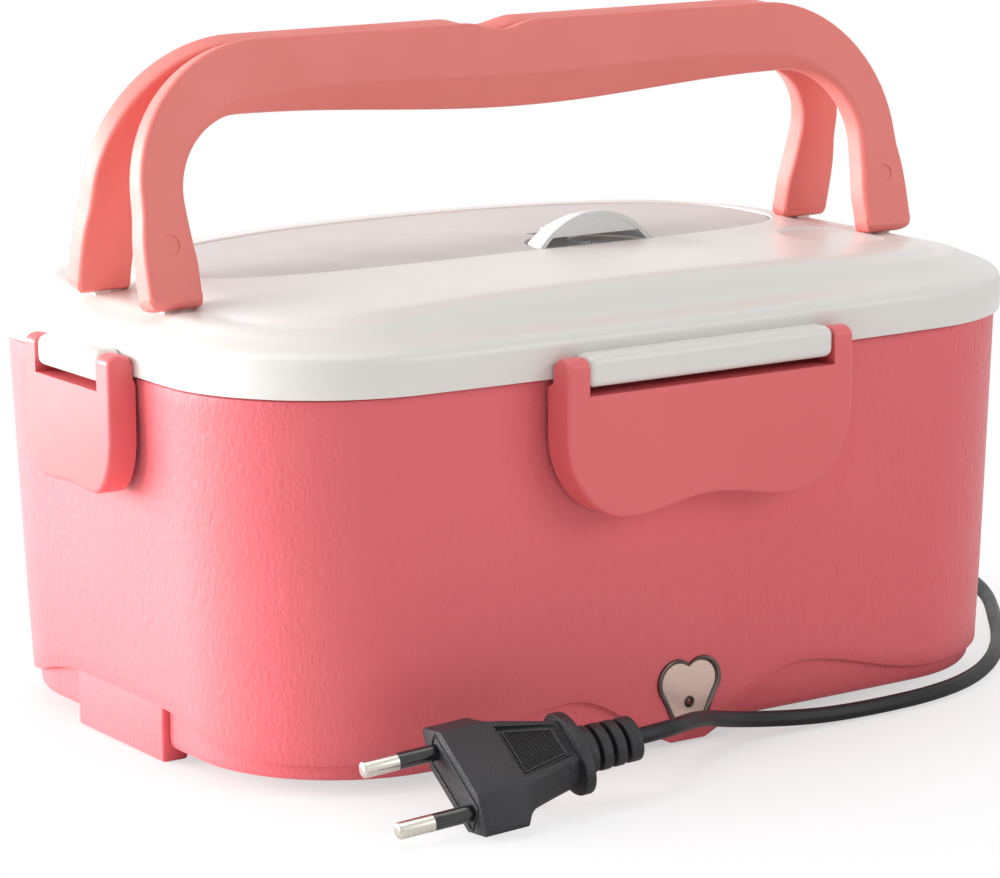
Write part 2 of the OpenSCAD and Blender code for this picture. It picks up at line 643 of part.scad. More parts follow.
// The lug holds its pin by an arm from the middle, round which the handle's slotted foot swings outwards
module handle_lug() {
    rod_x(lug_r, lug_t);
    block([lug_t, lug_arm, lug_r], [0, lug_arm / 2, -lug_r / 2]);
    block([lug_t, lug_post, handle_pin_up - 1], [0, lug_arm - lug_post / 2, -(handle_pin_up - 1) / 2]);
}
module lid_shell() color(off_white) {
    t = lid_wall;
    difference() {
        union() {
            difference() {
                skin([lid_ring(0, lid_low_z), lid_ring(0, rim_z - 3.2), lid_ring(0.8, rim_z - 1.2),
                    lid_ring(2.8, rim_z), lid_ring(7, rim_z + 0.9, 0.6), lid_ring(10, rim_z + 1.7, 1),
                    lid_ring(14, rim_z + 5, -1.4), lid_ring(18, crown_z - 0.9, -3.9),
                    lid_ring(22.5, crown_z, -crown_fall - 1.6), panel_ring(0, crown_z), panel_ring(0.4, floor_z),
                    panel_ring(0, floor_z, 0.5), panel_ring(0, floor_z, 0.06, 0)]);
                skin([lid_ring(t, lid_low_z - 1), lid_ring(t, rim_z - 3.6), lid_ring(t + 1.4, rim_z - 2.4),
                    lid_ring(9, rim_z - 1.2), lid_ring(13.5, rim_z - 0.6), lid_ring(17.5, rim_z + 2.6, -1),
                    lid_ring(22, crown_z - 3.6, -2.6), lid_ring(62, crown_z - 3.6)]);
            }
            at_latches() { hinge_bar(bar_half_long); hinge_bar(bar_half_short); }
            at_handle_pins() handle_lug();
            for (p = post_spots) translate([p.x, p.y, liner_z + liner_t])
                cylinder(r = 3, h = crown_z - 3.2 - liner_z - liner_t);
            for (s = [-1, 1]) translate([vent_x + s * 5.5, vent_back, 0]) {
                translate([0, 0, vent_pin_z]) rod_x(1.6, 2.4);
                block([2.4, 3.2, 3], [0, 0, vent_pin_z - 1.5]);
            }
        }
        at_latches() {
            rod_x(latch_pin_r + running, long_latch_w);
            rod_x(latch_pin_r + running, short_latch_w);
        }
        at_handle_pins() rod_x(handle_pin_r + running, 20);
        translate([vent_x, vent_back, vent_pin_z]) rod_x(vent_pin_r + running, 20);
        translate([vent_x, vent_y + 7, crown_z - 10]) cylinder(r = steam_r, h = 20);
    }
}
module lid_liner() color(off_white) difference() {
    skin([lifted(case_outline(8.4), liner_z), lifted(case_outline(8.4), liner_z + liner_t)]);
    translate([vent_x, vent_y + 7, liner_z - 1]) cylinder(r = steam_r + 2, h = 6);
}
module lid_seal() color([0.88, 0.88, 0.86]) {
    inner = 8.8 + seal_w;
    skin([lifted(case_outline(8.8), liner_z - seal_h), lifted(case_outline(8.8), liner_z),
        lifted(case_outline(inner), liner_z), lifted(case_outline(inner), liner_z - seal_h)], closed = true);
}
module lid_panel() color([0.83, 0.82, 0.83]) difference() {
    low = floor_z + 0.05;
    skin([panel_ring(0.7, low, 0.06, 0), panel_ring(0.7, low, 0.5), panel_ring(0.7, low),
        panel_ring(0.7, low + panel_t), panel_ring(0.7, low + panel_t, 0.5), panel_ring(0.7, low + panel_t, 0.06, 0)]);
    translate([vent_x, vent_y, crown_z - 10]) cylinder(r = vent_r + 0.8, h = 20);
    block([16, 8, 20], [vent_x, vent_back, crown_z]);
}

// ---- latches ----
function clip_low(x, half, low, lobe, dip, side) = abs(x) > lobe
    ? low + side * (1 - sqrt(max(0, 1 - pow((abs(x) - lobe) / (half - lobe), 2))))
    : low + dip * (1 + cos(180 * x / lobe)) / 2;
function clip_points(half, low, lobe, dip, side, top) = concat(
    [for (t = [-90:7.5:90]) let (x = half * sin(t)) [x, clip_low(x, half, low, lobe, dip, side)]],
    [[half, top], [-half, top]]);
module clip(w, low_world, lobe, dip, side, hook_w, hook_top_world, hook_reach) {
    // Outward is -Y; the origin is on the pin
    half = w / 2;
    low = low_world - latch_z;
    top = -bar_h / 2 - 1.8;
    rim = 2;
    deep = latch_out + body_inset - 0.9;
    difference() {
        union() {
            translate([0, -ear_r + latch_t, 0]) rotate([90, 0, 0]) linear_extrude(latch_t)
                polygon(clip_points(half, low, lobe, dip, side, top));
            difference() {
                translate([0, deep, 0]) rotate([90, 0, 0]) linear_extrude(deep + ear_r - latch_t)
                    polygon(clip_points(half, low, lobe, dip, side, top));
                translate([0, deep + 1, 0]) rotate([90, 0, 0]) linear_extrude(deep + ear_r + 2)
                    polygon(clip_points(half - rim, low + rim, lobe - rim / 2, dip, side, top + 20));
                block([w + 2, 20, 20], [0, latch_out - air + 10, lid_low_z - 0.6 - latch_z + 10]);
                translate([0, latch_out + body_inset - catch_out - air + 5, hook_top_world - latch_z - 12])
                    cube([hook_w + 3.2, 10, 20], center = true);
            }
            for (s = [-1, 1]) {
                translate([s * (half - ear_w / 2), 0, 0]) rod_x(ear_r, ear_w);
                block([ear_w, 2 * ear_r, -top + 0.5], [s * (half - ear_w / 2), 0, top / 2 - 0.25]);
            }
            block([hook_w, hook_reach + ear_r - latch_t + 0.5, 2],
                [0, (hook_reach - ear_r + latch_t - 0.5) / 2, hook_top_world - 1 - latch_z]);
        }
        rod_x(latch_pin_r + running, w + 2);
    }
}
long_reach = latch_out + body_inset - catch_out + hook_bite;
module long_clip() color(soft_pink)
    clip(long_latch_w, long_latch_z, 24, 3, 21, catch_w - 2, catch_z - hook_gap, long_reach);
module short_clip() color(soft_pink)
    clip(short_latch_w, short_latch_z, 12, 0.6, 15, catch_w * 0.6 - 2, short_catch_z - hook_gap, long_reach + 0.5);
module front_latch() translate([0, -(lid_d / 2 + latch_out), latch_z]) long_clip();
module back_latch() rotate(180) translate([0, -(lid_d / 2 + latch_out), latch_z]) long_clip();
module left_latch() rotate(-90) translate([0, -(lid_w / 2 + latch_out), latch_z]) short_clip();
module right_latch() rotate(90) translate([0, -(lid_w / 2 + latch_out), latch_z]) short_clip();
module latch_pin(w) { rod_x(latch_pin_r, w - 1); }
module long_latch_pins() color(steel) for (a = [0, 180])
    rotate(a) translate([0, -(lid_d / 2 + latch_out), latch_z]) latch_pin(long_latch_w);
module short_latch_pins() color(steel) for (a = [90, -90])
    rotate(a) translate([0, -(lid_w / 2 + latch_out), latch_z]) latch_pin(short_latch_w);

// ---- handles ----
handle_lean = asin((handle_pin_y - handle_t / 2 - handle_meet / 2) / handle_h);
bend_r = 37;
notch_x = -6;
notch_half = 11;
notch_deep = 2;
function notch_at(x) = abs(x - notch_x) < notch_half
    ? notch_deep * pow(cos(90 * (x - notch_x) / notch_half), 2) : 0;
// Outer and inner points of the right half, from the foot up to the grip's end
side_turn = [for (a = [0:9:90]) a];
leg_out = [[handle_w / 2, -6], [handle_w / 2, 6], [handle_w / 2 - 0.3, 12], [handle_w / 2 - 1.2, 18]];
foot_in = handle_w / 2 - handle_foot_w;
leg_in = handle_w / 2 - 1.4 - handle_leg_w;
leg_inner = [[foot_in, -6], [foot_in, 6], [foot_in + 0.6, 11], [leg_in - 0.3, 16]];
turn_h = handle_h - bend_r;
turn_x = leg_in - (handle_h - grip_h - turn_h);
bend_x = handle_w / 2 - 1.4 - bend_r;
half_out = concat(leg_out, [for (a = side_turn) [bend_x + bend_r * cos(a), turn_h + bend_r * sin(a)]]);
half_in = concat(leg_inner, [for (a = side_turn)
    [turn_x + (leg_in - turn_x) * cos(a), turn_h + (handle_h - grip_h - turn_h) * sin(a)]]);
grip_steps = 36;
function grip_out(k) = let (x = bend_x * (1 - 2 * k / grip_steps)) [x, handle_h - notch_at(x)];
function grip_in(k) = let (x = turn_x * (1 - 2 * k / grip_steps))
    [x, handle_h - grip_h - grip_belly * pow(cos(90 * x / turn_x), 2)];
function flipped(p) = [for (i = [len(p) - 1:-1:0]) [-p[i].x, p[i].y]];
handle_out = concat(half_out, [for (k = [1:grip_steps - 1]) grip_out(k)], flipped(half_out));
handle_in = concat(half_in, [for (k = [1:grip_steps - 1]) grip_in(k)], flipped(half_in));
// Width of the bevel along the handle's lower front edge
function bevel_at(q) = q.y < turn_h ? 1.2 : 1.2 + 6 * pow(cos(90 * min(1, abs(q.x) / (turn_x + 8))), 0.6);
function handle_ring(o, q) = let (t = handle_t / 2, d = unit(q - o), e = 0.8, w = bevel_at(q))
    [for (p = [[o + e * d, -t], [q - w * d, -t], [q, -t + min(4, 0.6 + w / 2)], [q, t - e], [q - e * d, t],
        [o + e * d, t], [o, t - e], [o, -t + e]]) [p[0].x, p[1], p[0].y]];
module bail() {
    // Stands in X and Z with its front face at -Y; the origin is midway between its pins
    difference() {
        intersection() {
            skin([for (i = [0:len(handle_out) - 1]) handle_ring(handle_out[i], handle_in[i])]);
            union() {
                block([handle_w + 2, 20, handle_h + 2], [0, 0, handle_h / 2 + 1]);
                rod_x(foot_round, handle_w + 2);
            }
        }
        for (s = [-1, 1]) translate([s * lug_x, 0, 0]) {
            rod_x(lug_r + air, lug_t + 2 * air);
            block([lug_t + 2 * air, handle_t / 2 + lug_r + air + 1, lug_r + foot_round + 1],
                [0, (handle_t / 2 + 1 - lug_r - air) / 2, (lug_r - foot_round - 1) / 2]);
            rod_x(handle_pin_r + running, handle_foot_w - 2);
        }
    }
}
module front_handle() color(soft_pink) translate([0, -handle_pin_y, handle_z]) rotate([-handle_lean, 0, 0]) bail();
module rear_handle() color(soft_pink) rotate(180) mirror([1, 0, 0]) front_handle();
module handle_pins() color(steel) at_handle_pins() rod_x(handle_pin_r, handle_foot_w - 3);

// ---- steam vent ----
vent_wall = 1.2;
module vent_cap() color([0.90, 0.91, 0.91, 0.8]) {
    ball = (vent_r * vent_r + vent_h * vent_h) / (2 * vent_h);
    z = floor_z + air;
    difference() {
        union() {
            intersection() {
                translate([vent_x, vent_y, z + vent_h - ball]) difference() {
                    sphere(ball);
                    sphere(ball - vent_wall);
                }
                block([2 * vent_r + 2, vent_r, vent_h + 2], [vent_x, vent_y + vent_r / 2, z + vent_h / 2 + 1]);
            }
            intersection() {
                translate([vent_x, vent_y, z]) cylinder(r = vent_r - 0.3, h = vent_wall);
                block([2 * vent_r, vent_r, 4], [vent_x, vent_y + vent_r / 2 + 0.01, z]);
            }
            translate([vent_x, vent_back, vent_pin_z]) rod_x(1.5, 8);
            block([8, 3, 1.4], [vent_x, vent_back - 1.6, z + 0.7]);
        }
        translate([vent_x, vent_back, vent_pin_z]) rod_x(vent_pin_r + running, 20);
    }
}
module vent_plug() color([0.88, 0.88, 0.86]) translate([vent_x, vent_y + 7, 0]) {
    translate([0, 0, floor_z + air - 1.6]) cylinder(r1 = steam_r - 0.6, r2 = steam_r - air, h = 1.6);
}
module vent_pin() color(steel) translate([vent_x, vent_back, vent_pin_z]) rod_x(vent_pin_r, 13);

// ---- lead ----
coil_mid = [95, 133];
coil_turns = 4.25;
coil_outer = 27;
coil_pitch = 4.5;
coil_low = 2.7;
coil_rise = 4.5;
function coil_at(t) = let (
    half = coil_turns / 2, r = coil_outer - coil_pitch * min(t, coil_turns - t), a = 90 - 360 * t,
    climb = min(1, max(0, (t - half + 0.25) / 0.5)), ease = climb * climb * (3 - 2 * climb))
    [coil_mid.x + r * cos(a), coil_mid.y + r * sin(a), coil_low + coil_rise * ease];
coil_start = [coil_mid.x, coil_mid.y + coil_outer, coil_low];
coil_end = [coil_mid.x + coil_outer, coil_mid.y, coil_low + coil_rise];
coil_points = concat([coil_start - [lead_d, 0, 0]], [for (i = [0:24 * coil_turns]) coil_at(i / 24)],
    [coil_end - [0, lead_d, 0]]);
gland_end = gland_out + relief_l;
lead_in_points = [[gland_x, lead_from, gland_z], [gland_x, gland_end, gland_z], [gland_x, gland_end + 6, gland_z],
    [60, 118.5, 30.2], [60, 126.5, 27.6], [60, 133, 23.4], [60, 138, 18.2], [60.5, 143, 13], [62, 148, 8.6],
    [65, 152.6, 5.4], [69.6, 156.2, 3.5], [76, 158.8, 2.8], [83.5, 160, 2.7],
    [coil_start.x - lead_d, coil_start.y, coil_low]];
plug_yaw = -6.1;
plug_pitch = -5;
plug_roll = 32.5;
plug_flat = plug_w / 2 - 6.8;
plug_at = [-85.5, -104.4, plug_flat * sin(plug_roll) + plug_t / 2 * cos(plug_roll) + 0.05];
plug_run = [cos(plug_pitch) * cos(plug_yaw), cos(plug_pitch) * sin(plug_yaw), -sin(plug_pitch)];
flange_l = 3.6;
ribs_l = 15;
plug_tail = plug_at + (plug_l + flange_l + ribs_l) * plug_run;
lead_out_points = [[coil_end.x, coil_end.y - lead_d, coil_end.z], [122.3, 119, 6.8], [124, 110.5, 5.4],
    [127.5, 102, 3.8], [132.5, 93.5, 2.6], [139, 85, 2.1], [145.5, 76, 2.1], [152, 65.5, 2.1], [157.5, 54.5, 2.1],
    [161.5, 43, 2.1], [164, 31, 2.1], [163.7, 19, 2.1], [161, 7.5, 2.1], [156.5, -3.5, 2.1], [150.5, -14, 2.1],
    [143.5, -24, 2.1], [136.3, -33.5, 2.1], [129, -43, 2.1], [121.4, -52, 2.1], [113, -60.5, 2.1],
    [103.6, -68.5, 2.1], [93.4, -75.3, 2.1], [82, -80.4, 2.1], [70, -83.3, 2.1], [58, -84.4, 2.1], [47, -84.5, 2.1],
    [37, -84.4, 2.4], [28, -84.2, 3.1], [20, -84.4, 4.1], [12.5, -85.4, 5.4], [5.5, -87.4, 7], [-1, -90.5, 8.9],
    [-7, -94.4, 10.8], [-12.8, -98.9, 12.5], [-18.4, -103.2, 13.9], [-24, -106.9, 14.8], [-29.5, -109.2, 15.2],
    [-34.8, -109.81, 15.06], plug_tail];
module lead_in() color(black) tube(lead_in_points, lead_r);
module lead_coil() color(black) tube(coil_points, lead_r, 6);
module coil_tie() color(black) {
    a = 225;
    inside = coil_outer - coil_pitch * 1.625 - lead_r - 0.4;
    outside = coil_outer - coil_pitch * 0.625 + lead_r + 0.4;
    high = coil_low + coil_rise + lead_r + 0.4;
    translate([coil_mid.x, coil_mid.y, 0]) rotate(a) difference() {
        block([outside - inside + 1, 7, high + 0.5], [(outside + inside) / 2, 0, (high + 0.5) / 2]);
        block([outside - inside, 9, high - 0.5], [(outside + inside) / 2, 0, (high + 0.5) / 2]);
    }
}
module lead_out() color(black) tube(lead_out_points, lead_r);
echo(lead_length = length_of(lead_in_points) + length_of(coil_points) + length_of(lead_out_points));
echo(coil_gap = min([for (i = [0:len(coil_points) - 1]) for (j = [i + 8:1:len(coil_points) - 1])
    norm(coil_points[i] - coil_points[j])]) - lead_d);

module at_plug() translate(plug_at) rotate([0, 0, plug_yaw]) rotate([0, plug_pitch, 0]) rotate([plug_roll, 0, 0])
    children();
// Sections of the plug across its run, flat above and below, with wide sloping flanks
function plug_ring(x, half, thick, flat, side) = [for (p = [[half, side], [flat, thick], [-flat, thick],
    [-half, side], [-half, -side], [-flat, -thick], [flat, -thick], [half, -side]]) [x, p.x, p.y]];
function oval_ring(x, a, b, n = 20) = [for (i = [0:n - 1]) [x, a * cos(360 * i / n), b * sin(360 * i / n)]];
module plug_body() color(black) at_plug() difference() {
    w = plug_w / 2;
    t = plug_t / 2;
    f = plug_flat;
    union() {
        skin([plug_ring(0, w - 0.8, t - 0.8, f - 0.4, 0.6), plug_ring(0.8, w, t, f, 0.6),
            plug_ring(11.3, w, t, f, 0.6), plug_ring(13, w - 2.3, t, f - 0.3, 0.8),
            plug_ring(16, w - 4.7, t - 0.1, f - 0.9, 1), plug_ring(20, w - 6.6, t - 0.3, f - 1.9, 1.2),
            plug_ring(24, w - 7.7, t - 0.5, f - 2.9, 1.4), plug_ring(plug_l + 0.5, w - 8.3, t - 0.8, f - 3.9, 1.6)]);
        skin([oval_ring(plug_l, 10.4, 6.6), oval_ring(plug_l + 0.8, 11.2, 7.6),
            oval_ring(plug_l + flange_l - 0.8, 11.2, 7.6), oval_ring(plug_l + flange_l, 10.4, 6.6)]);
    }
    for (s = [-1, 1]) translate([-1, s * pin_pitch / 2, 0]) rod_x(1.45, 16);
}
module plug_relief() color(black) at_plug() union() {
    from = plug_l + flange_l;
    skin([oval_ring(from, 4.6, 3.9), oval_ring(from + ribs_l, 3.2, 2.9)]);
    for (i = [0:3]) let (x = from + 0.8 + 3.7 * i, a = 6.1 - 0.1 * i)
        skin([oval_ring(x, a - 0.5, 4.5), oval_ring(x + 0.5, a, 5), oval_ring(x + 2.1, a, 5),
            oval_ring(x + 2.6, a - 0.5, 4.5)]);
}
sleeve_l = 10;
module plug_pins() color(steel) at_plug() for (s = [-1, 1]) translate([0, s * pin_pitch / 2, 0]) {
    tip = pin_d / 2 - 0.6;
    translate([tip - pin_l, 0, 0]) rod_x(pin_d / 2, pin_l - sleeve_l - tip, false);
    translate([-pin_l, 0, 0]) rotate([0, 90, 0]) cylinder(r1 = pin_d / 2 - 1.3, r2 = pin_d / 2, h = tip);
    translate([-sleeve_l - 0.1, 0, 0]) rod_x(1.4, sleeve_l + 6, false);
}
module plug_sleeves() color(black) at_plug() for (s = [-1, 1]) translate([-sleeve_l / 2, s * pin_pitch / 2, 0])
    difference() {
        rod_x(pin_d / 2 - 0.1, sleeve_l - 0.04);
        rod_x(1.45, sleeve_l + 2);
    }

outer_shell();
bottom_cover();
rubber_feet();
case_screws();
inner_well();
heater_plate();
ptc_heater();
heater_clamp();
heater_screws();
thermal_fuse();
fuse_clip();
terminal_block();
indicator_bezel();
indicator_window();
indicator_lamp();
lamp_board();
inner_wires();
inner_lead();
cord_gland();
cord_anchor();
food_container();
side_tray();
lid_shell();
lid_liner();
lid_seal();
lid_panel();
front_latch();
back_latch();
left_latch();
right_latch();
long_latch_pins();
short_latch_pins();
front_handle();
rear_handle();
handle_pins();
vent_cap();
vent_plug();
vent_pin();
lead_in();
lead_coil();
coil_tie();
lead_out();
plug_body();
plug_pins();
plug_sleeves();
plug_relief();
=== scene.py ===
import json
from math import acos, asin, atan2, cos, exp, pi, radians, sin, sqrt

import bmesh
import bpy
from mathutils import Matrix, Vector

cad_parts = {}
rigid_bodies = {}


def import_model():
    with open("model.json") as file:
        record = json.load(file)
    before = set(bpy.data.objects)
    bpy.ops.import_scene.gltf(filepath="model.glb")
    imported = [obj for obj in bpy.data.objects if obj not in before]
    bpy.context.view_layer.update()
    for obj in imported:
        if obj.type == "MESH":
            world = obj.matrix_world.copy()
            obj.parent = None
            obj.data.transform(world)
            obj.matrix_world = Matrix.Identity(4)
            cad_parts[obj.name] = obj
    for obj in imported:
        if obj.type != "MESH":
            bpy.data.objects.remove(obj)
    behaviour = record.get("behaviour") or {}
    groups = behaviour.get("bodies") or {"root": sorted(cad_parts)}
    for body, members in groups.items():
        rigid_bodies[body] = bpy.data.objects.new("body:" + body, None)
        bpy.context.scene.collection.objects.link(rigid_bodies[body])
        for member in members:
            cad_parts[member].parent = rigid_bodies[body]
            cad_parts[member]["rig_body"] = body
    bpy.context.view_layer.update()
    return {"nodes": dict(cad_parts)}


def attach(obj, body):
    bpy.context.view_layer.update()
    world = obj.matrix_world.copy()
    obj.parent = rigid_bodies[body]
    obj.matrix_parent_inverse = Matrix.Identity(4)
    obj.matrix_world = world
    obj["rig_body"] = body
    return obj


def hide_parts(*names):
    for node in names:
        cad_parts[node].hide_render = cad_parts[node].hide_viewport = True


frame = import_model()
scene = bpy.context.scene
mm = 0.001  # shapes are worked out in millimetres
print("frame loaded")

# the photo's own view
cameraLook = {
    "azimuth": -33.68, "elevation": 11.72, "roll": -0.29, "distance": 1.01439,
    "target": (-0.00433, 0, 0.06), "lens": 142.51, "shift": (0.0053, 0.0107),
}


def addCamera(look):
    a, e, r = (radians(look[k]) for k in ("azimuth", "elevation", "roll"))
    back = Vector((sin(a) * cos(e), -cos(a) * cos(e), sin(e)))
    right = (-back).cross(Vector((0, 0, 1))).normalized()
    up = right.cross(-back)
    across, tall = right * cos(r) + up * sin(r), up * cos(r) - right * sin(r)
    camera = bpy.data.objects.new("camera", bpy.data.cameras.new("camera"))
    camera.data.lens = look["lens"]
    camera.data.shift_x, camera.data.shift_y = look["shift"]
    camera.data.clip_start, camera.data.clip_end = 0.05, 20
    turn = Matrix((across, tall, back)).transposed().to_4x4()
    camera.matrix_world = Matrix.Translation(Vector(look["target"]) + back * look["distance"]) @ turn
    scene.collection.objects.link(camera)
    scene.camera = camera


addCamera(cameraLook)
print("camera set")


def newFinish(name, colour, roughness, metallic=0.0):
    mat = bpy.data.materials.new(name)
    mat.use_nodes = True
    shader = mat.node_tree.nodes["Principled BSDF"]
    shader.inputs["Base Color"].default_value = (*colour, 1)
    shader.inputs["Roughness"].default_value = roughness
    shader.inputs["Metallic"].default_value = metallic
    return mat, shader


def objectPlace(mat, stretch=(1, 1, 1)):
    nodes, links = mat.node_tree.nodes, mat.node_tree.links
    where, mapping = nodes.new("ShaderNodeTexCoord"), nodes.new("ShaderNodeMapping")
    mapping.inputs["Scale"].default_value = stretch
    links.new(where.outputs["Object"], mapping.inputs["Vector"])
    return mapping.outputs["Vector"]


def noise(mat, place, scale, detail=3, rough=0.5, distortion=0.0):
    node = mat.node_tree.nodes.new("ShaderNodeTexNoise")
    for key, value in (("Scale", scale), ("Detail", detail), ("Roughness", rough), ("Distortion", distortion)):
        node.inputs[key].default_value = value
    mat.node_tree.links.new(place, node.inputs["Vector"])
    return node.outputs["Fac"]


def cells(mat, place, scale, feature="F1", smoothness=0.6):
    node = mat.node_tree.nodes.new("ShaderNodeTexVoronoi")
    node.feature = feature
    node.inputs["Scale"].default_value = scale
    if feature == "SMOOTH_F1":
        node.inputs["Smoothness"].default_value = smoothness
    mat.node_tree.links.new(place, node.inputs["Vector"])
    return node.outputs["Distance"]


def spread(mat, value, low, high, fromLow=0.35, fromHigh=0.65):
    node = mat.node_tree.nodes.new("ShaderNodeMapRange")
    for key, number in (("From Min", fromLow), ("From Max", fromHigh), ("To Min", low), ("To Max", high)):
        node.inputs[key].default_value = number
    mat.node_tree.links.new(value, node.inputs["Value"])
    return node.outputs["Result"]


def tint(mat, shader, fac, one, two):
    node = mat.node_tree.nodes.new("ShaderNodeMix")
    node.data_type = "RGBA"
    node.inputs["A"].default_value, node.inputs["B"].default_value = (*one, 1), (*two, 1)
    mat.node_tree.links.new(fac, node.inputs["Factor"])
    mat.node_tree.links.new(node.outputs["Result"], shader.inputs["Base Color"])


def addBumps(mat, shader, layers):
    # layers of (height, strength, depth in metres), one bump on the next
    nodes, links = mat.node_tree.nodes, mat.node_tree.links
    last = None
    for height, strength, depth in layers:
        bump = nodes.new("ShaderNodeBump")
        bump.inputs["Strength"].default_value, bump.inputs["Distance"].default_value = strength, depth
        links.new(height, bump.inputs["Height"])
        if last:
            links.new(last, bump.inputs["Normal"])
        last = bump.outputs["Normal"]
    links.new(last, shader.inputs["Normal"])


def plastic(name, colour, deep, roughness, speck=900, speckDepth=0.00002, speckStrength=0.25,
            coat=0.0, specular=0.5, scatter=0.0, scatterDepth=(0.004, 0.003, 0.002)):
    # moulded plastic: faint clouds in the colour, a fine spark grain and uneven gloss
    mat, shader = newFinish(name, colour, roughness[0])
    place = objectPlace(mat)
    tint(mat, shader, spread(mat, noise(mat, place, 14, 4), 0, 1), colour, deep)
    smudge = noise(mat, place, 55, 5, 0.6)
    mat.node_tree.links.new(spread(mat, smudge, *roughness), shader.inputs["Roughness"])
    addBumps(mat, shader, [(noise(mat, place, speck, 2), speckStrength, speckDepth)])
    for key, value in (("Coat Weight", coat), ("Coat Roughness", 0.25), ("Specular IOR Level", specular),
                       ("Subsurface Weight", scatter), ("Subsurface Radius", scatterDepth)):
        shader.inputs[key].default_value = value
    return mat


def metal(name, colour, roughness, stretch, scale=300, depth=0.00001, strength=0.3):
    # bare metal with drawn lines one way, fine scratches and a little stain
    mat, shader = newFinish(name, colour, roughness[0], 1.0)
    lines = noise(mat, objectPlace(mat, stretch), scale, 6, 0.7)
    stain = noise(mat, objectPlace(mat), 30, 4)
    tint(mat, shader, spread(mat, stain, 0, 1), colour, [c * 0.86 for c in colour])
    mat.node_tree.links.new(spread(mat, lines, *roughness), shader.inputs["Roughness"])
    addBumps(mat, shader, [(lines, strength, depth)])
    return mat


grainLook = {
    "coral": (0.755, 0.137, 0.158), "deep": (0.71, 0.118, 0.138), "roughness": (0.42, 0.6),
    "wrinkleScale": 900, "pebbleScale": 900, "stretch": (1, 1, 0.5), "depth": 0.00036,
}


def coralGrain(look):
    # moulded leather grain: upright wrinkles, pebbles between them, uneven gloss
    mat, shader = newFinish("coralGrain", look["coral"], 0.5)
    links = mat.node_tree.links
    place = objectPlace(mat, look["stretch"])
    wrinkle = noise(mat, place, look["wrinkleScale"], 3, 0.5, 0.7)
    pebble = cells(mat, place, look["pebbleScale"], "SMOOTH_F1")
    broad = noise(mat, objectPlace(mat), 9, 3)
    tint(mat, shader, spread(mat, broad, 0, 1), look["coral"], look["deep"])
    links.new(spread(mat, wrinkle, *look["roughness"]), shader.inputs["Roughness"])
    addBumps(mat, shader, [(pebble, 0.25, look["depth"] * 0.35), (wrinkle, 0.6, look["depth"])])
    shader.inputs["Sheen Weight"].default_value = 0.22
    shader.inputs["Sheen Roughness"].default_value = 0.4
    return mat


bodyCoral = coralGrain(grainLook)
# colour, its deeper clouds, roughness from and to, then the scale, depth and strength of the grain
clipCoral = plastic("clipCoral", (0.76, 0.142, 0.150), (0.73, 0.130, 0.138), (0.36, 0.46), 1100)
handleCoral = plastic("handleCoral", (0.81, 0.225, 0.198), (0.76, 0.195, 0.172), (0.42, 0.52), 1000, specular=0.3)
lidWhite = plastic("lidWhite", (0.745, 0.725, 0.695), (0.73, 0.71, 0.68), (0.30, 0.36), 700, 0.000004, 0.1,
                   scatter=0.06)
panelGrey = plastic("panelGrey", (0.60, 0.575, 0.555), (0.56, 0.54, 0.52), (0.42, 0.56), 1500, 0.00003, 0.4)
insideWhite = plastic("insideWhite", (0.80, 0.79, 0.75), (0.76, 0.75, 0.71), (0.38, 0.5), 800)
plugBlack = plastic("plugBlack", (0.016, 0.017, 0.019), (0.026, 0.027, 0.030), (0.4, 0.58), 1700, 0.0003, 0.7,
                    specular=0.38)
cordBlack = plastic("cordBlack", (0.008, 0.009, 0.011), (0.013, 0.014, 0.016), (0.34, 0.5), 1500, 0.00003, 0.3,
                    specular=0.25)
sleeveGloss = plastic("sleeveGloss", (0.006, 0.006, 0.007), (0.010, 0.010, 0.011), (0.10, 0.2), 600, 0.00001, 0.1,
                      coat=0.4)
feetRubber = plastic("feetRubber", (0.03, 0.03, 0.03), (0.045, 0.044, 0.042), (0.7, 0.85), 1300, 0.00008, 0.5)
silicone = plastic("silicone", (0.70, 0.70, 0.67), (0.66, 0.655, 0.62), (0.5, 0.62), 1000, scatter=0.15,
                   scatterDepth=(0.003, 0.003, 0.002))
ceramicWhite = plastic("ceramicWhite", (0.68, 0.64, 0.55), (0.60, 0.56, 0.47), (0.6, 0.78), 1400, 0.00004, 0.5)
boardGreen = plastic("boardGreen", (0.03, 0.16, 0.06), (0.025, 0.12, 0.05), (0.25, 0.4), 500)
lampRed = plastic("lampRed", (0.16, 0.03, 0.028), (0.12, 0.02, 0.02), (0.12, 0.22), 500, 0.00001, 0.1, coat=0.5)
wireRed = plastic("wireRed", (0.42, 0.05, 0.04), (0.34, 0.04, 0.03), (0.4, 0.55), 900)

# colour, roughness from and to, stretch of the drawn lines and their scale
pinNickel = metal("pinNickel", (0.60, 0.575, 0.52), (0.22, 0.36), (0.12, 1, 1), 900)
panSteel = metal("panSteel", (0.62, 0.62, 0.61), (0.22, 0.38), (0.15, 0.15, 1), 700)
zincSteel = metal("zincSteel", (0.56, 0.57, 0.58), (0.3, 0.45), (1, 1, 1), 500)
castAlu = metal("castAlu", (0.66, 0.66, 0.67), (0.42, 0.58), (1, 1, 1), 260, 0.00006, 0.5)
bezelSmoke = metal("bezelSmoke", (0.16, 0.135, 0.125), (0.22, 0.36), (1, 1, 0.3), 900)


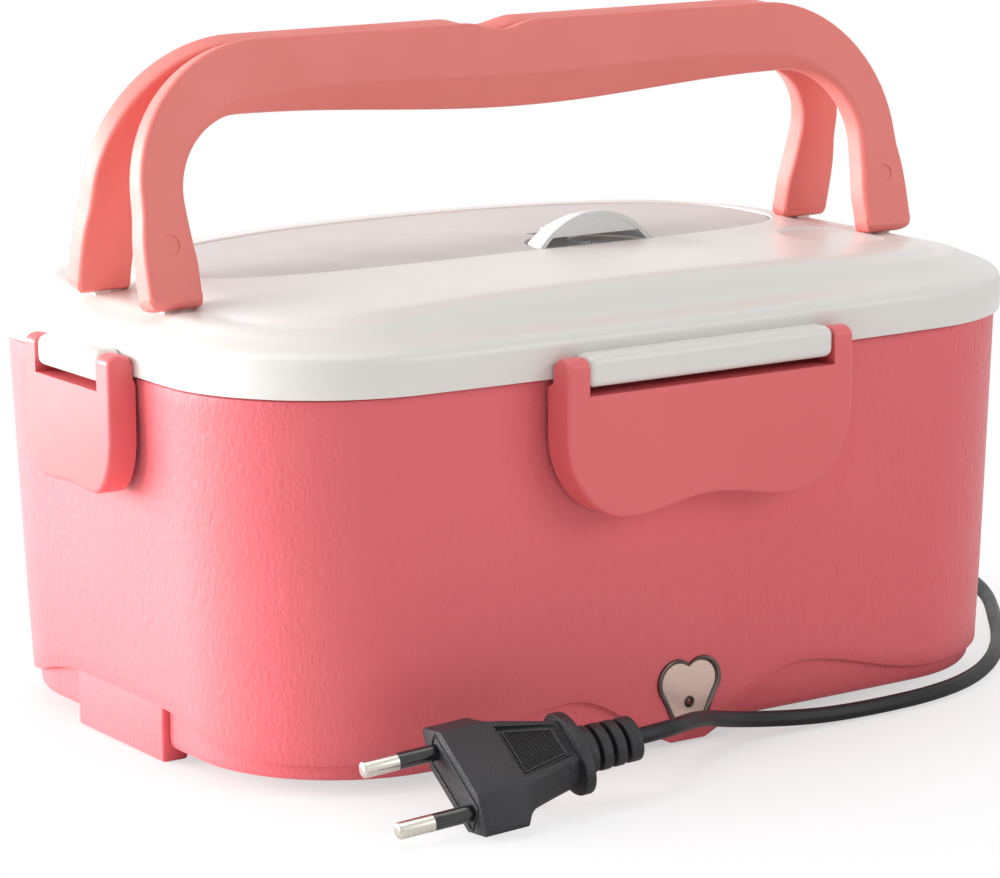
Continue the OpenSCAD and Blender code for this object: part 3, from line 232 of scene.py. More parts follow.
def clearVent():
    # milky clear plastic: light goes through it and it keeps a white body
    mat, shader = newFinish("ventClear", (0.93, 0.93, 0.92), 0.22)
    place = objectPlace(mat)
    flow = noise(mat, place, 45, 3)
    tint(mat, shader, spread(mat, flow, 0, 1), (0.93, 0.93, 0.92), (0.88, 0.88, 0.87))
    mat.node_tree.links.new(spread(mat, flow, 0.16, 0.28), shader.inputs["Roughness"])
    addBumps(mat, shader, [(noise(mat, place, 700, 2), 0.15, 0.00002)])
    shader.inputs["Transmission Weight"].default_value = 0.2
    shader.inputs["IOR"].default_value = 1.46
    return mat


def pearlWindow():
    # printed silver-beige behind clear lacquer, with fine metal flakes
    mat, shader = newFinish("windowPearl", (0.76, 0.58, 0.50), 0.35, 0.2)
    place = objectPlace(mat)
    flakes = cells(mat, place, 5200)
    tint(mat, shader, spread(mat, flakes, 0, 1, 0.1, 0.7), (0.79, 0.61, 0.52), (0.70, 0.52, 0.44))
    mat.node_tree.links.new(spread(mat, noise(mat, place, 160, 3), 0.28, 0.42), shader.inputs["Roughness"])
    addBumps(mat, shader, [(flakes, 0.12, 0.00001)])
    shader.inputs["Coat Weight"].default_value = 0.5
    shader.inputs["Coat Roughness"].default_value = 0.12
    return mat


ventClear, windowPearl = clearVent(), pearlWindow()
print("finishes made")


def piece(name, bm, mat, body, nodes=(), sharp=40):
    # a finished bmesh becomes a piece in metres that rides on its body
    bmesh.ops.scale(bm, vec=(mm,) * 3, verts=bm.verts)
    mesh = bpy.data.meshes.new(name)
    bm.to_mesh(mesh)
    bm.free()
    for face in mesh.polygons:
        face.use_smooth = True
    mesh.set_sharp_from_angle(angle=radians(sharp))
    mesh.materials.append(mat)
    made = bpy.data.objects.new(name, mesh)
    scene.collection.objects.link(made)
    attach(made, body)
    if nodes:
        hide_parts(*nodes)
    return made


def linked(verts):
    # the edges at some vertices, in the same order each run
    return list(dict.fromkeys(e for v in verts for e in v.link_edges))


def putLoop(loop, points):
    for vert, point in zip(loop, points):
        vert.co = point


def loft(bm, rings, startCap=True, endCap=True):
    # the first ring is a circle pushed into shape, and each next one is extruded from it
    loop = bmesh.ops.create_circle(bm, segments=len(rings[0]), radius=1)["verts"]
    edges = linked(loop)
    putLoop(loop, rings[0])
    firstEdges = edges
    for ring in rings[1:]:
        made = bmesh.ops.extrude_edge_only(bm, edges=edges)["geom"]
        fresh = {v for v in made if isinstance(v, bmesh.types.BMVert)}
        loop = [next(e.other_vert(v) for e in v.link_edges if e.other_vert(v) in fresh) for v in loop]
        edges = [e for e in made if isinstance(e, bmesh.types.BMEdge) and set(e.verts) <= fresh]
        putLoop(loop, ring)
    if startCap:
        bmesh.ops.contextual_create(bm, geom=firstEdges)
    if endCap:
        bmesh.ops.contextual_create(bm, geom=edges)
    return loop


def circle(radius, count):
    return [(radius * cos(2 * pi * k / count), radius * sin(2 * pi * k / count)) for k in range(count)]


def closedLoft(bm, rings):
    loft(bm, [*rings, rings[0]], False, False)
    bmesh.ops.remove_doubles(bm, verts=bm.verts, dist=0.0005)


def outwards(bm):
    bmesh.ops.recalc_face_normals(bm, faces=bm.faces)


def bevelSharp(bm, width, segments=3, angle=35, only=None):
    edges = [e for e in bm.edges if len(e.link_faces) == 2 and e.calc_face_angle(0) > radians(angle)
             and (only is None or only(e))]
    bmesh.ops.bevel(bm, geom=edges, offset=width, offset_type="OFFSET", segments=segments, profile=0.5,
                    affect="EDGES", material=-1, clamp_overlap=True)


def box(bm, size, at, bevel=0.0, segments=3):
    made = bmesh.ops.create_cube(bm, size=1)["verts"]
    bmesh.ops.scale(bm, vec=size, verts=made)
    bmesh.ops.translate(bm, vec=at, verts=made)
    if bevel:
        edges = linked(made)
        bmesh.ops.bevel(bm, geom=edges, offset=bevel, offset_type="OFFSET", segments=segments, profile=0.5,
                        affect="EDGES", material=-1)
    return made


def rod(bm, axis, radius, length, at, segments=40, bevel=0.0, radiusTwo=None):
    # a rod whose middle is at a point, along X, Y or Z
    turn = {"X": Matrix.Rotation(pi / 2, 4, "Y"), "Y": Matrix.Rotation(-pi / 2, 4, "X"), "Z": Matrix()}[axis]
    made = bmesh.ops.create_cone(bm, segments=segments, radius1=radius, depth=length, cap_ends=True,
                                 radius2=radius if radiusTwo is None else radiusTwo,
                                 matrix=Matrix.Translation(at) @ turn)["verts"]
    if bevel:
        rims = [e for e in linked(made) if e.calc_face_angle(0) > radians(60)]
        bmesh.ops.bevel(bm, geom=rims, offset=bevel, offset_type="OFFSET", segments=3, profile=0.5,
                        affect="EDGES", material=-1)
    return made


def cut(target, shape, *facts, turn=Matrix()):
    # cuts a rod, a box or a loft in millimetres out of a piece
    bm = bmesh.new()
    shape(bm, *facts)
    bm.transform(turn)
    outwards(bm)
    bmesh.ops.scale(bm, vec=(mm,) * 3, verts=bm.verts)
    mesh = bpy.data.meshes.new("cutter")
    bm.to_mesh(mesh)
    bm.free()
    cutter = bpy.data.objects.new("cutter", mesh)
    scene.collection.objects.link(cutter)
    step = target.modifiers.new("cut", "BOOLEAN")
    step.object, step.operation, step.solver = cutter, "DIFFERENCE", "EXACT"
    result = bpy.data.meshes.new_from_object(target.evaluated_get(bpy.context.evaluated_depsgraph_get()))
    target.modifiers.clear()
    target.data = result
    bpy.data.objects.remove(cutter)
    for face in result.polygons:
        face.use_smooth = True
    result.set_sharp_from_angle(angle=radians(32))


def dress(node, mat, bevel=0.25, sharp=35, name=None, move=(0, 0, 0)):
    # a merged copy of a CAD node with eased edges and its own finish
    bm = bmesh.new()
    bm.from_mesh(frame["nodes"][node].data)
    bmesh.ops.remove_doubles(bm, verts=bm.verts, dist=0.000002)
    bmesh.ops.dissolve_limit(bm, angle_limit=radians(0.6), verts=bm.verts, edges=bm.edges)
    bmesh.ops.scale(bm, vec=(1000,) * 3, verts=bm.verts)
    bmesh.ops.translate(bm, vec=move, verts=bm.verts)
    if bevel:
        bevelSharp(bm, bevel, 2, 42)
    return piece(name or node + "Dressed", bm, mat, frame["nodes"][node]["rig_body"], (node,), sharp)


def smoothRows(rows, steps):
    # points on a smooth curve through the rows
    out = []
    for i in range(len(rows) - 1):
        p0, p1 = rows[max(0, i - 1)], rows[i]
        p2, p3 = rows[i + 1], rows[min(len(rows) - 1, i + 2)]
        for k in range(steps):
            t = k / steps
            out.append(tuple(0.5 * (2 * b + (c - a) * t + (2 * a - 5 * b + 4 * c - d) * t * t
                                    + (3 * b - a - 3 * c + d) * t ** 3) for a, b, c, d in zip(p0, p1, p2, p3)))
    return out + [tuple(rows[-1])]


leadLook = {
    "diameter": 4.0, "sides": 20, "groove": 0.2, "grooveTurn": 0.12, "grooveWidth": 0.2, "exit": (60, 104.40, 31),
    "coilMiddle": (95, 133), "coilOuter": 27, "coilPitch": 4.5, "coilTurns": 4.25, "coilLow": 2.7, "coilRise": 4.5,
}
plugPose = {"yaw": -6.1, "pitch": -5.0, "roll": 32.5, "at": (-85.5, -104.4, 10.5985)}


def plugMatrix(pose):
    yaw, pitch, roll = (Matrix.Rotation(radians(pose[k]), 4, axis)
                        for k, axis in (("yaw", "Z"), ("pitch", "Y"), ("roll", "X")))
    return Matrix.Translation(pose["at"]) @ yaw @ pitch @ roll


def coilPoint(look, t):
    half = look["coilTurns"] / 2
    r = look["coilOuter"] - look["coilPitch"] * min(t, look["coilTurns"] - t)
    a = radians(90 - 360 * t)
    climb = min(1, max(0, (t - half + 0.25) / 0.5))
    return (look["coilMiddle"][0] + r * cos(a), look["coilMiddle"][1] + r * sin(a),
            look["coilLow"] + look["coilRise"] * climb * climb * (3 - 2 * climb))


def leadRoute(look):
    # down the back, round the coil, then round the right end to the plug
    mx, my = look["coilMiddle"]
    outer, low, high = look["coilOuter"], look["coilLow"], look["coilLow"] + look["coilRise"]
    down = [look["exit"], (60, 110.4, 31), (60, 118.5, 30.2), (60, 126.5, 27.6), (60, 133, 23.4), (60, 138, 18.2),
            (60.5, 143, 13), (62, 148, 8.6), (65, 152.6, 5.4), (69.6, 156.2, 3.5), (76, 158.8, 2.8), (83.5, 160, 2.7),
            (mx - 4, my + outer, low)]
    coil = [coilPoint(look, i / 24) for i in range(int(24 * look["coilTurns"]) + 1)]
    tail = plugMatrix(plugPose) @ Vector((46.6, 0, 0))
    away = [(mx + outer, my - 4, high), (122.3, 119, 6.8), (124, 110.5, 5.4), (127.5, 102, 3.8), (132.5, 93.5, 2.6),
            (139, 85, 2.1), (145.5, 76, 2.1), (152, 65.5, 2.1), (157.5, 54.5, 2.1), (161.5, 43, 2.1), (164, 31, 2.1),
            (163.7, 19, 2.1), (161, 7.5, 2.1), (156.5, -3.5, 2.1), (150.5, -14, 2.1), (143.5, -24, 2.1),
            (136.3, -33.5, 2.1), (129, -43, 2.1), (121.4, -52, 2.1), (113, -60.5, 2.1), (103.6, -68.5, 2.1),
            (93.4, -75.3, 2.1), (82, -80.4, 2.1), (70, -83.3, 2.1), (58, -84.4, 2.1), (47, -84.5, 2.1),
            (37, -84.4, 2.4), (28, -84.2, 3.1), (20, -84.4, 4.1), (12.5, -85.4, 5.4), (5.5, -87.4, 7),
            (-1, -90.5, 8.9), (-7, -94.4, 10.8), (-12.8, -98.9, 12.5), (-18.4, -103.2, 13.9),
            (-24, -106.9, 14.8), (-29.5, -109.2, 15.2), (-34.8, -109.81, 15.06), tuple(tail)]
    return [Vector(p) for p in smoothRows(down, 3)[:-1] + smoothRows(coil, 2)[:-1] + smoothRows(away, 3)]


def makeLead(look):
    route = leadRoute(look)
    r = look["diameter"] / 2
    rings = []
    for i, point in enumerate(route):
        run = (route[min(i + 1, len(route) - 1)] - route[max(i - 1, 0)]).normalized()
        side = Vector((0, 0, 1)).cross(run).normalized()
        up = run.cross(side)
        ring = []
        for k in range(look["sides"]):
            a = 2 * pi * k / look["sides"]
            # a shallow groove on each side, between the cores
            near = min(abs(a - pi * look["grooveTurn"]), abs(a - pi * (1 + look["grooveTurn"])))
            reach = r * (1 - look["groove"] * exp(-(near / look["grooveWidth"]) ** 2))
            ring.append(point + reach * (cos(a) * side + sin(a) * up))
        rings.append(ring)
    bm = bmesh.new()
    loft(bm, rings)
    outwards(bm)
    lead = piece("mainsLead", bm, cordBlack, "base", ("lead_in", "lead_coil", "lead_out"), 60)
    length = sum((b - a).length for a, b in zip(route, route[1:]))
    return lead, [p * mm for p in route], length * mm


lead, leadPath, leadLength = makeLead(leadLook)
print("lead made,", round(leadLength, 3), "m")

plugLook = {"half": 16.7, "thick": 6.2, "flat": 9.9, "length": 28, "flange": 3.6, "ribs": 4, "ribPitch": 3.7,
            "edge": 0.3, "fineRibs": 17, "band": 0.5,
            "panelFrames": ((13.1, 27.0, 7.7, 4.8, 0.85), (14.1, 26.0, 6.5, 4.0, 0.5)),
            "pinPitch": 19, "pinLength": 19, "pinRadius": 2.0, "sleeve": 10}


def plugRing(x, half, thick, flat, side):
    return [(x, a, b) for a, b in ((half, side), (flat, thick), (-flat, thick), (-half, side), (-half, -side),
                                   (-flat, -thick), (flat, -thick), (half, -side))]


def ovalRing(x, a, b, count=48):
    return [(x, a * y, b * z) for y, z in circle(1, count)]


def trapezoid(bm, x0, x1, wide, narrow, low, high):
    loft(bm, [[(x0, -wide, z), (x1, -narrow, z), (x1, narrow, z), (x0, wide, z)] for z in (low, high)])


def makePlugBlock(look, pose):
    h, t, f = look["half"], look["thick"], look["flat"]
    neck = [(11.3, h, t, f, 0.6), (12.6, h - 1.9, t, f - 0.2, 0.7), (14.2, h - 3.7, t, f - 0.5, 0.8),
            (16.4, h - 5.1, t - 0.1, f - 1, 1), (20, h - 6.6, t - 0.3, f - 1.9, 1.2),
            (24, h - 7.7, t - 0.5, f - 2.9, 1.4), (look["length"] + 0.5, h - 8.3, t - 0.8, f - 3.9, 1.6)]
    bm = bmesh.new()
    loft(bm, [plugRing(0, h, t, f, 0.6), plugRing(11.3, h, t, f, 0.6)]
         + [plugRing(*row) for row in smoothRows(neck, 3)[1:]])
    outwards(bm)

    def isCorner(edge):  # across the block, or anywhere on its straight part
        one, two = (v.co for v in edge.verts)
        return one.x < 11.4 or abs(one.y - two.y) < abs(one.x - two.x)

    bevelSharp(bm, look["edge"], 3, 24, isCorner)
    bm.transform(pose)
    block = piece("plugBlock", bm, plugBlack, "base", ("plug_body",), 28)
    for s in (-1, 1):  # a sunk panel on each flat face
        cut(block, trapezoid, 12.9, 27.2, 8.0, 5.0, s * (t - 0.85), s * (t + 1), turn=pose)
    return block


def makePlugTrim(look, pose):
    t, band, ribs = look["thick"], look["band"], look["fineRibs"]
    bm = bmesh.new()
    for s in (-1, 1):
        for x0, x1, w0, w1, grow in look["panelFrames"]:
            corners = [(x0, w0, x1, w1, 1.2), (x0, w0, x1, w1, grow),
                       (x0 + band, w0 - band, x1 - band, w1 - 0.4, grow),
                       (x0 + band, w0 - band, x1 - band, w1 - 0.4, 1.2)]
            closedLoft(bm, [[(a, -b, s * (t - z)), (c, -d, s * (t - z)), (c, d, s * (t - z)), (a, b, s * (t - z))]
                            for a, b, c, d, z in corners])
        for i in range(ribs):
            x = 15 + 10.4 * i / (ribs - 1)
            w = 5.8 + (3.5 - 5.8) * (x - 15) / 10.4
            box(bm, (0.3, 2 * w, 0.8), (x, 0, s * (t - 0.85)), 0.08, 1)
    # the low frame round both pins
    for z in (2.4 - t, t - 2.4):
        box(bm, (0.6, 23.4, 0.4), (-0.05, 0, z), 0.12, 1)
    for y in (-11.6, 11.6):
        box(bm, (0.6, 0.4, 2 * t - 4.8), (-0.05, y, 0), 0.12, 1)
    outwards(bm)
    bm.transform(pose)
    return piece("plugTrim", bm, plugBlack, "base")


def makePlugRelief(look, pose):
    x = look["length"]
    bm = bmesh.new()
    loft(bm, [ovalRing(x + dx, 11.2 - drop, 7.6 - drop) for dx, drop in (
        (0, 3.4), (0.5, 2.6), (0.7, 0.4), (0.8, 0.12), (1.1, 0), (2.9, 0), (3.2, 0.12), (3.35, 0.4), (3.6, 2))])
    x += look["flange"]
    loft(bm, [ovalRing(x - 0.3, 4.6, 3.7), ovalRing(x + 15, 3.0, 2.7)])
    for i in range(look["ribs"]):
        start, long = x + 0.7 + look["ribPitch"] * i, 2.7 if i < look["ribs"] - 1 else 3.4
        rows = ((0, 0.6), (0.05, 0.22), (0.22, 0.05), (0.5, 0),
                (long - 0.5, 0), (long - 0.22, 0.05), (long - 0.05, 0.22), (long, 0.6))
        loft(bm, [ovalRing(start + dx, 6.1 - 0.12 * i - drop, 5 - 0.1 * i - drop) for dx, drop in rows])
    outwards(bm)
    bm.transform(pose)
    return piece("plugRelief", bm, plugBlack, "base", ("plug_relief",))


def makePins(look, pose):
    bm, sleeves = bmesh.new(), bmesh.new()
    r, tip, bare = look["pinRadius"], look["pinLength"], look["pinLength"] - look["sleeve"]
    dome = [(-tip + 0.9 * (1 - cos(radians(a))), r - 1.15 + 1.15 * sin(radians(a))) for a in range(0, 91, 18)]
    metalRows = [(-tip, 0.25), *dome, (-tip + bare, r), (-tip + bare + 0.02, r - 0.12), (1, r - 0.12)]
    sleeveRows = [(-tip + bare + 0.03, r - 0.4), (-tip + bare + 0.03, r - 0.14), (-tip + bare + 0.2, r - 0.02),
                  (0.8, r - 0.02)]
    for y in (-look["pinPitch"] / 2, look["pinPitch"] / 2):
        for shape, rows in ((bm, metalRows), (sleeves, sleeveRows)):
            loft(shape, [[(x, y + a, b) for a, b in circle(radius, 40)] for x, radius in rows])
    for shape in (bm, sleeves):
        outwards(shape)
        shape.transform(pose)
    return [piece("plugPins", bm, pinNickel, "base", ("plug_pins",)),
            piece("pinSleeves", sleeves, sleeveGloss, "base", ("plug_sleeves",))]


def makePlug(look):
    pose = plugMatrix(plugPose)
    block, trim = makePlugBlock(look, pose), makePlugTrim(look, pose)
    return [block, makePlugRelief(look, pose), *makePins(look, pose), trim]


plugPieces = makePlug(plugLook)
tie = dress("coil_tie", sleeveGloss, 0.15)

glandLook = {"at": (60, 77.4, 31), "hole": 5.2, "collar": 7.5, "reliefLength": 27, "ribs": 5, "ribPitch": 4.4}


def makeGland(look):
    x, y, z = look["at"]
    length = look["reliefLength"] - 2
    bm = bmesh.new()
    rod(bm, "Y", look["collar"], 2.4, (x, y + 1.2, z), 56, 0.6)
    rod(bm, "Y", 5, 3.4, (x, y - 1.6, z), 48)
    rod(bm, "Y", 6.4, 2.5, (x, y - 4.65, z), 48, 0.4)
    rod(bm, "Y", 5, length, (x, y + 2 + length / 2, z), 48, 0, 3)
    for i in range(look["ribs"]):
        rod(bm, "Y", 5.1 - 0.42 * i, 2.0, (x, y + 5 + look["ribPitch"] * i + 0.9, z), 48, 0.5)
    outwards(bm)
    return piece("cordGland", bm, cordBlack, "base", ("cord_gland",))


gland = makeGland(glandLook)
print("plug, tie and gland made")

# the case from above, which the lid and the container follow too
caseShape = {"width": 240, "depth": 162, "corner": 43, "sideDraw": 4, "bodyInset": 2.9, "lean": 2.6, "endSwell": 2.1,
             "shellTop": 97, "arcSteps": 24, "longSteps": 44, "shortSteps": 24}


def caseOutline(inset, drop=0.0, shape=caseShape):
    a, b = shape["width"] / 2 - inset - drop, shape["depth"] / 2 - inset
    r, n = max(8, shape["corner"] - inset), shape["arcSteps"]
    points = []
    for turn in range(4):
        steps = shape["longSteps" if turn % 2 else "shortSteps"]
        sx, sy = ((1, 1), (-1, 1), (-1, -1), (1, -1))[turn]
        start, end = (((a, r - b), (a, b - r)), ((a - r, b), (r - a, b)), ((-a, b - r), (-a, r - b)),
                      ((r - a, -b), (a - r, -b)))[turn]
        for i in range(1, steps + 1):
            t = i / (steps + 1)
            points.append((start[0] + (end[0] - start[0]) * t, start[1] + (end[1] - start[1]) * t))
        for i in range(n + 1):
            angle = radians(90 * turn + 90 * i / n)
            points.append((sx * (a - r) + r * cos(angle), sy * (b - r) + r * sin(angle)))
    return [(x, y * (1 - shape["sideDraw"] / b * (x / (shape["width"] / 2)) ** 2)) for x, y in points]


def level(points, z):
    return [(x, y, z) for x, y in points]


shellLook = {"wall": 2.4, "lap": 1.3, "crestZ": 15, "crestX": 34, "cornerZ": 7.5, "tabZ": 13.5,
             "lobe": 5, "lobeZ": 0.4, "tabWidth": 43, "tabThick": 7, "tabTop": 21, "tabX": 111.08, "frontY": -78.1,
             "frontFrom": 35.1, "frontTo": 91.5, "waveRun": 44, "tabRun": 34}


def waveHeight(x, y, look=shellLook):
    # the height of the wavy edge: a lobe in the middle, a crest on each side of it, then down to the corner
    x, y = abs(x), abs(y)
    lobe, crest, corner = look["lobeZ"], look["crestZ"], look["cornerZ"]
    if y > look["frontFrom"] and x < look["frontTo"]:
        if x < look["lobe"]:
            return lobe
        if x < look["crestX"]:
            climb = sin(pi / 2 * (x - look["lobe"]) / (look["crestX"] - look["lobe"]))
            return lobe + (crest - lobe) * (0.5 * climb + 0.5 * climb ** 2)
        return corner + (crest - corner) * cos(pi / 2 * min(1, (x - look["crestX"]) / look["waveRun"])) ** 2
    off = min(1, max(0, y - look["tabWidth"] / 2) / look["tabRun"])
    return corner + (look["tabZ"] - corner) * cos(pi / 2 * off) ** 2


def shellRing(inset, z, rise=None, swell=1):
    # the ends swell out to the lid's edge and tuck in under it
    swell *= caseShape["endSwell"]
    drop = (caseShape["lean"] + swell) * (1 - z / caseShape["shellTop"]) - swell
    return [(x, y, waveHeight(x, y) + rise if rise is not None else z)
            for x, y in caseOutline(caseShape["bodyInset"] + inset, drop)]


def makeShell(look):
    bm = bmesh.new()
    wall, top = look["wall"], caseShape["shellTop"]
    rings = [shellRing(0.55, 2, 0), shellRing(0.18, 2, 0.12), shellRing(0, 2, 0.5), shellRing(0, 8, 5)]
    rings += [shellRing(0, z) for z in (30, 45, 60, 75, 90, 93.6)]
    rings += [shellRing(0.1, 94.1), shellRing(0.3, 94.4, None, 0.6)]  # the seam under the lid
    rings += [shellRing(inset, z, None, 0) for inset, z in (
        (0, 94.55), (0, 96.4), (0.15, 96.85), (0.6, top), (wall, top), (wall, 26.5))]
    rings += [shellRing(look["lap"], 25), shellRing(look["lap"], 2, 0)]
    closedLoft(bm, rings)
    outwards(bm)
    shell = piece("outerShell", bm, bodyCoral, "base", ("outer_shell",))
    bm = bmesh.new()
    for s in (-1, 1):
        size = (look["tabThick"], look["tabWidth"], look["tabTop"])
        box(bm, size, (s * look["tabX"], 0, look["tabTop"] / 2), 0.9, 4)
    outwards(bm)
    piece("endTabs", bm, bodyCoral, "base")
    bm = bmesh.new()
    for s in (-1, 1):
        box(bm, (26, 4, 2), (0, s * 78.7, 77.2), 0.35)
        box(bm, (4.5, 15.6, 2), (s * 116.95, 0, 78.3), 0.35)
    outwards(bm)
    piece("catchRidges", bm, bodyCoral, "base")
    return shell


shell = makeShell(shellLook)
glandX, glandY, glandZ = glandLook["at"]
cut(shell, rod, "Y", glandLook["hole"], 14, (glandX, glandY + 0.6, glandZ), 48)

coverLook = {"inset": 4.7, "lean": 2.6, "bottom": 3.2, "tabX": 112.95, "tabGap": 43.6, "ribX": 75, "ribY": 30}
feetLook = {"x": 84, "y": 48, "radius": 7, "height": 3.2}


def makeCover(look):
    rows = [(4.6, look["bottom"]), (1.7, 3.25), (0.8, 3.6), (0.2, 4.4), (0, 5.6), (0, 24.2),
            (2, 24.2), (2, 8.2), (5, 5.2)]
    bm = bmesh.new()
    loft(bm, [level(caseOutline(look["inset"] + inset, look["lean"]), z) for inset, z in rows])
    outwards(bm)
    cover = piece("bottomCover", bm, bodyCoral, "base", ("bottom_cover",))
    for s in (-1, 1):
        cut(cover, box, (11, look["tabGap"], 60), (s * look["tabX"], 0, 0))
    bm = bmesh.new()  # shallow ribs that stiffen the underside
    for y in (-look["ribY"], 0, look["ribY"]):
        box(bm, (150, 1.6, 0.8), (0, y, look["bottom"]), 0.3, 2)
    for s in (-1, 1):
        box(bm, (1.6, 60, 0.8), (s * look["ribX"], 0, look["bottom"]), 0.3, 2)
    outwards(bm)
    piece("coverRibs", bm, bodyCoral, "base")


def makeFeet(look):
    bm = bmesh.new()
    for x in (-look["x"], look["x"]):
        for y in (-look["y"], look["y"]):
            rod(bm, "Z", look["radius"], look["height"], (x, y, look["height"] / 2), 48, 0.7)
            rod(bm, "Z", 5.4, 0.4, (x, y, 0.25), 48, 0.15)
    outwards(bm)
    piece("rubberFeet", bm, feetRubber, "base", ("rubber_feet",))


makeCover(coverLook)
makeFeet(feetLook)
print("case made")

heartLook = {"width": 18.8, "window": 16.1, "seat": 18.9, "z": 14.1, "lampZ": 10.2, "lampRadius": 1.5,
             "proud": 0.7}


def heartOutline(w, count=26):
    # two round shoulders whose sides run straight down to a small round foot
    cx, cy, r, low, small = 0.2 * w, 0.08 * w, 0.3 * w, -0.24 * w, 0.35 * w
    side = atan2(cy - low, cx) - acos((r - small) / sqrt(cx * cx + (cy - low) ** 2))
    notch = atan2(sqrt(r * r - cx * cx), -cx)
    turns = [notch + (side - notch) * i / count for i in range(count + 1)]
    right = [(cx + r * cos(a), cy + r * sin(a)) for a in turns]
    turns = [side + (-pi / 2 - side) * i / 8 for i in range(1, 9)]
    right += [(small * cos(a), low + small * sin(a)) for a in turns]
    return right + [(-x, z) for x, z in reversed(right[1:-1])]


def heartRing(w, depth, look=heartLook):
    return [(x, shellLook["frontY"] + depth, look["z"] + z) for x, z in heartOutline(w)]


def lampRings(rows, count, look=heartLook):
    return [[(x, shellLook["frontY"] + depth, look["lampZ"] + z) for x, z in circle(r, count)] for r, depth in rows]


def makeHeart(look):
    w, out, r = look["width"], -look["proud"], look["lampRadius"]
    bm = bmesh.new()
    closedLoft(bm, [heartRing(*row) for row in (
        (w, 1.6), (w, -0.35), (w - 0.12, -0.58), (w - 0.5, out), (w - 1.6, out + 0.04), (w - 2.2, -0.45),
        (w - 2.6, 0.1), (w - 2.6, 1.6))])
    outwards(bm)
    piece("indicatorBezel", bm, bezelSmoke, "base", ("indicator_bezel",))
    w = look["window"]
    bm = bmesh.new()
    loft(bm, [heartRing(*row) for row in (
        (w, 1.4), (w, 0.05), (w - 0.3, -0.08), (w - 1.2, -0.14), (w * 0.5, -0.17))])
    outwards(bm)
    window = piece("indicatorWindow", bm, windowPearl, "base", ("indicator_window",))
    cut(window, rod, "Y", r, 9, (0, shellLook["frontY"] + 0.6, look["lampZ"]), 40)
    r -= 0.03
    bm = bmesh.new()
    closedLoft(bm, lampRings(((r, 1.2), (r, -0.3), (r - 0.1, -0.42), (r - 0.45, -0.42), (r - 0.55, -0.3),
                              (r - 0.55, 1.2)), 40))
    outwards(bm)
    piece("lampRing", bm, bezelSmoke, "base")
    bm = bmesh.new()
    loft(bm, lampRings(((0.94, 8.6), (0.94, 0.2), (0.8, -0.05), (0.5, -0.2), (0.15, -0.26)), 32))
    outwards(bm)
    piece("indicatorLamp", bm, lampRed, "base", ("indicator_lamp",))


makeHeart(heartLook)
cut(shell, loft, [heartRing(heartLook["seat"], depth) for depth in (-3, 4)])
print("indicator made")

lidLook = {
    "lowZ": 94.8, "shoulder": 22.5, "crownZ": 113.5, "ends": -3.8, "wall": 2.2,
    "panelA": 92, "panelB": 35, "panelY": 20, "fall": 2.2, "floorZ": 112.4, "panelThick": 0.7,
    "dimple": (83, -27, 111.45), "dimpleTilt": (2.6, 0.9), "long": 81, "short": 120,  # from the middle to each side
    "latchZ": 98.0, "latchOut": 3.6, "longBar": 36.2, "shortBar": 15.2, "barDepth": 7.6, "barHeight": 7.6,
    "barDrop": 1.2, "handleY": 17.5, "handleZ": 113.5, "lugX": 107.7,
}
ventLook = {"at": (19, -12, 112.7), "radius": 17.5, "height": 8.5, "wall": 1.2, "slit": 2.4, "pin": (7, 114.3),
            "ear": 3.1, "pinLength": 6.6, "steam": (19, -5), "steamRadius": 3, "plugMove": 5}


def lidRing(inset, z, ends=0.0):
    return [(x, y, z + ends * (abs(x) / 100) ** 2) for x, y in caseOutline(inset)]


def panelRing(shrink, z, share=1.0, fall=None, look=lidLook):
    # a long oval with square shoulders, in step with the outline's points
    fall = look["fall"] if fall is None else fall
    a, b, power, ring = look["panelA"] - shrink, look["panelB"] - shrink, 2 / 2.6, []
    for x, y in caseOutline(20):
        t = atan2(y / 61, x / 100)
        px = share * a * (1 if cos(t) > 0 else -1) * abs(cos(t)) ** power
        py = share * b * (1 if sin(t) > 0 else -1) * abs(sin(t)) ** power + look["panelY"]
        ring.append((px, py, z - fall * (abs(px) / 100) ** 2))
    return ring


def mixRing(one, two, t):
    return [tuple(a + (b - a) * t for a, b in zip(p, q)) for p, q in zip(one, two)]


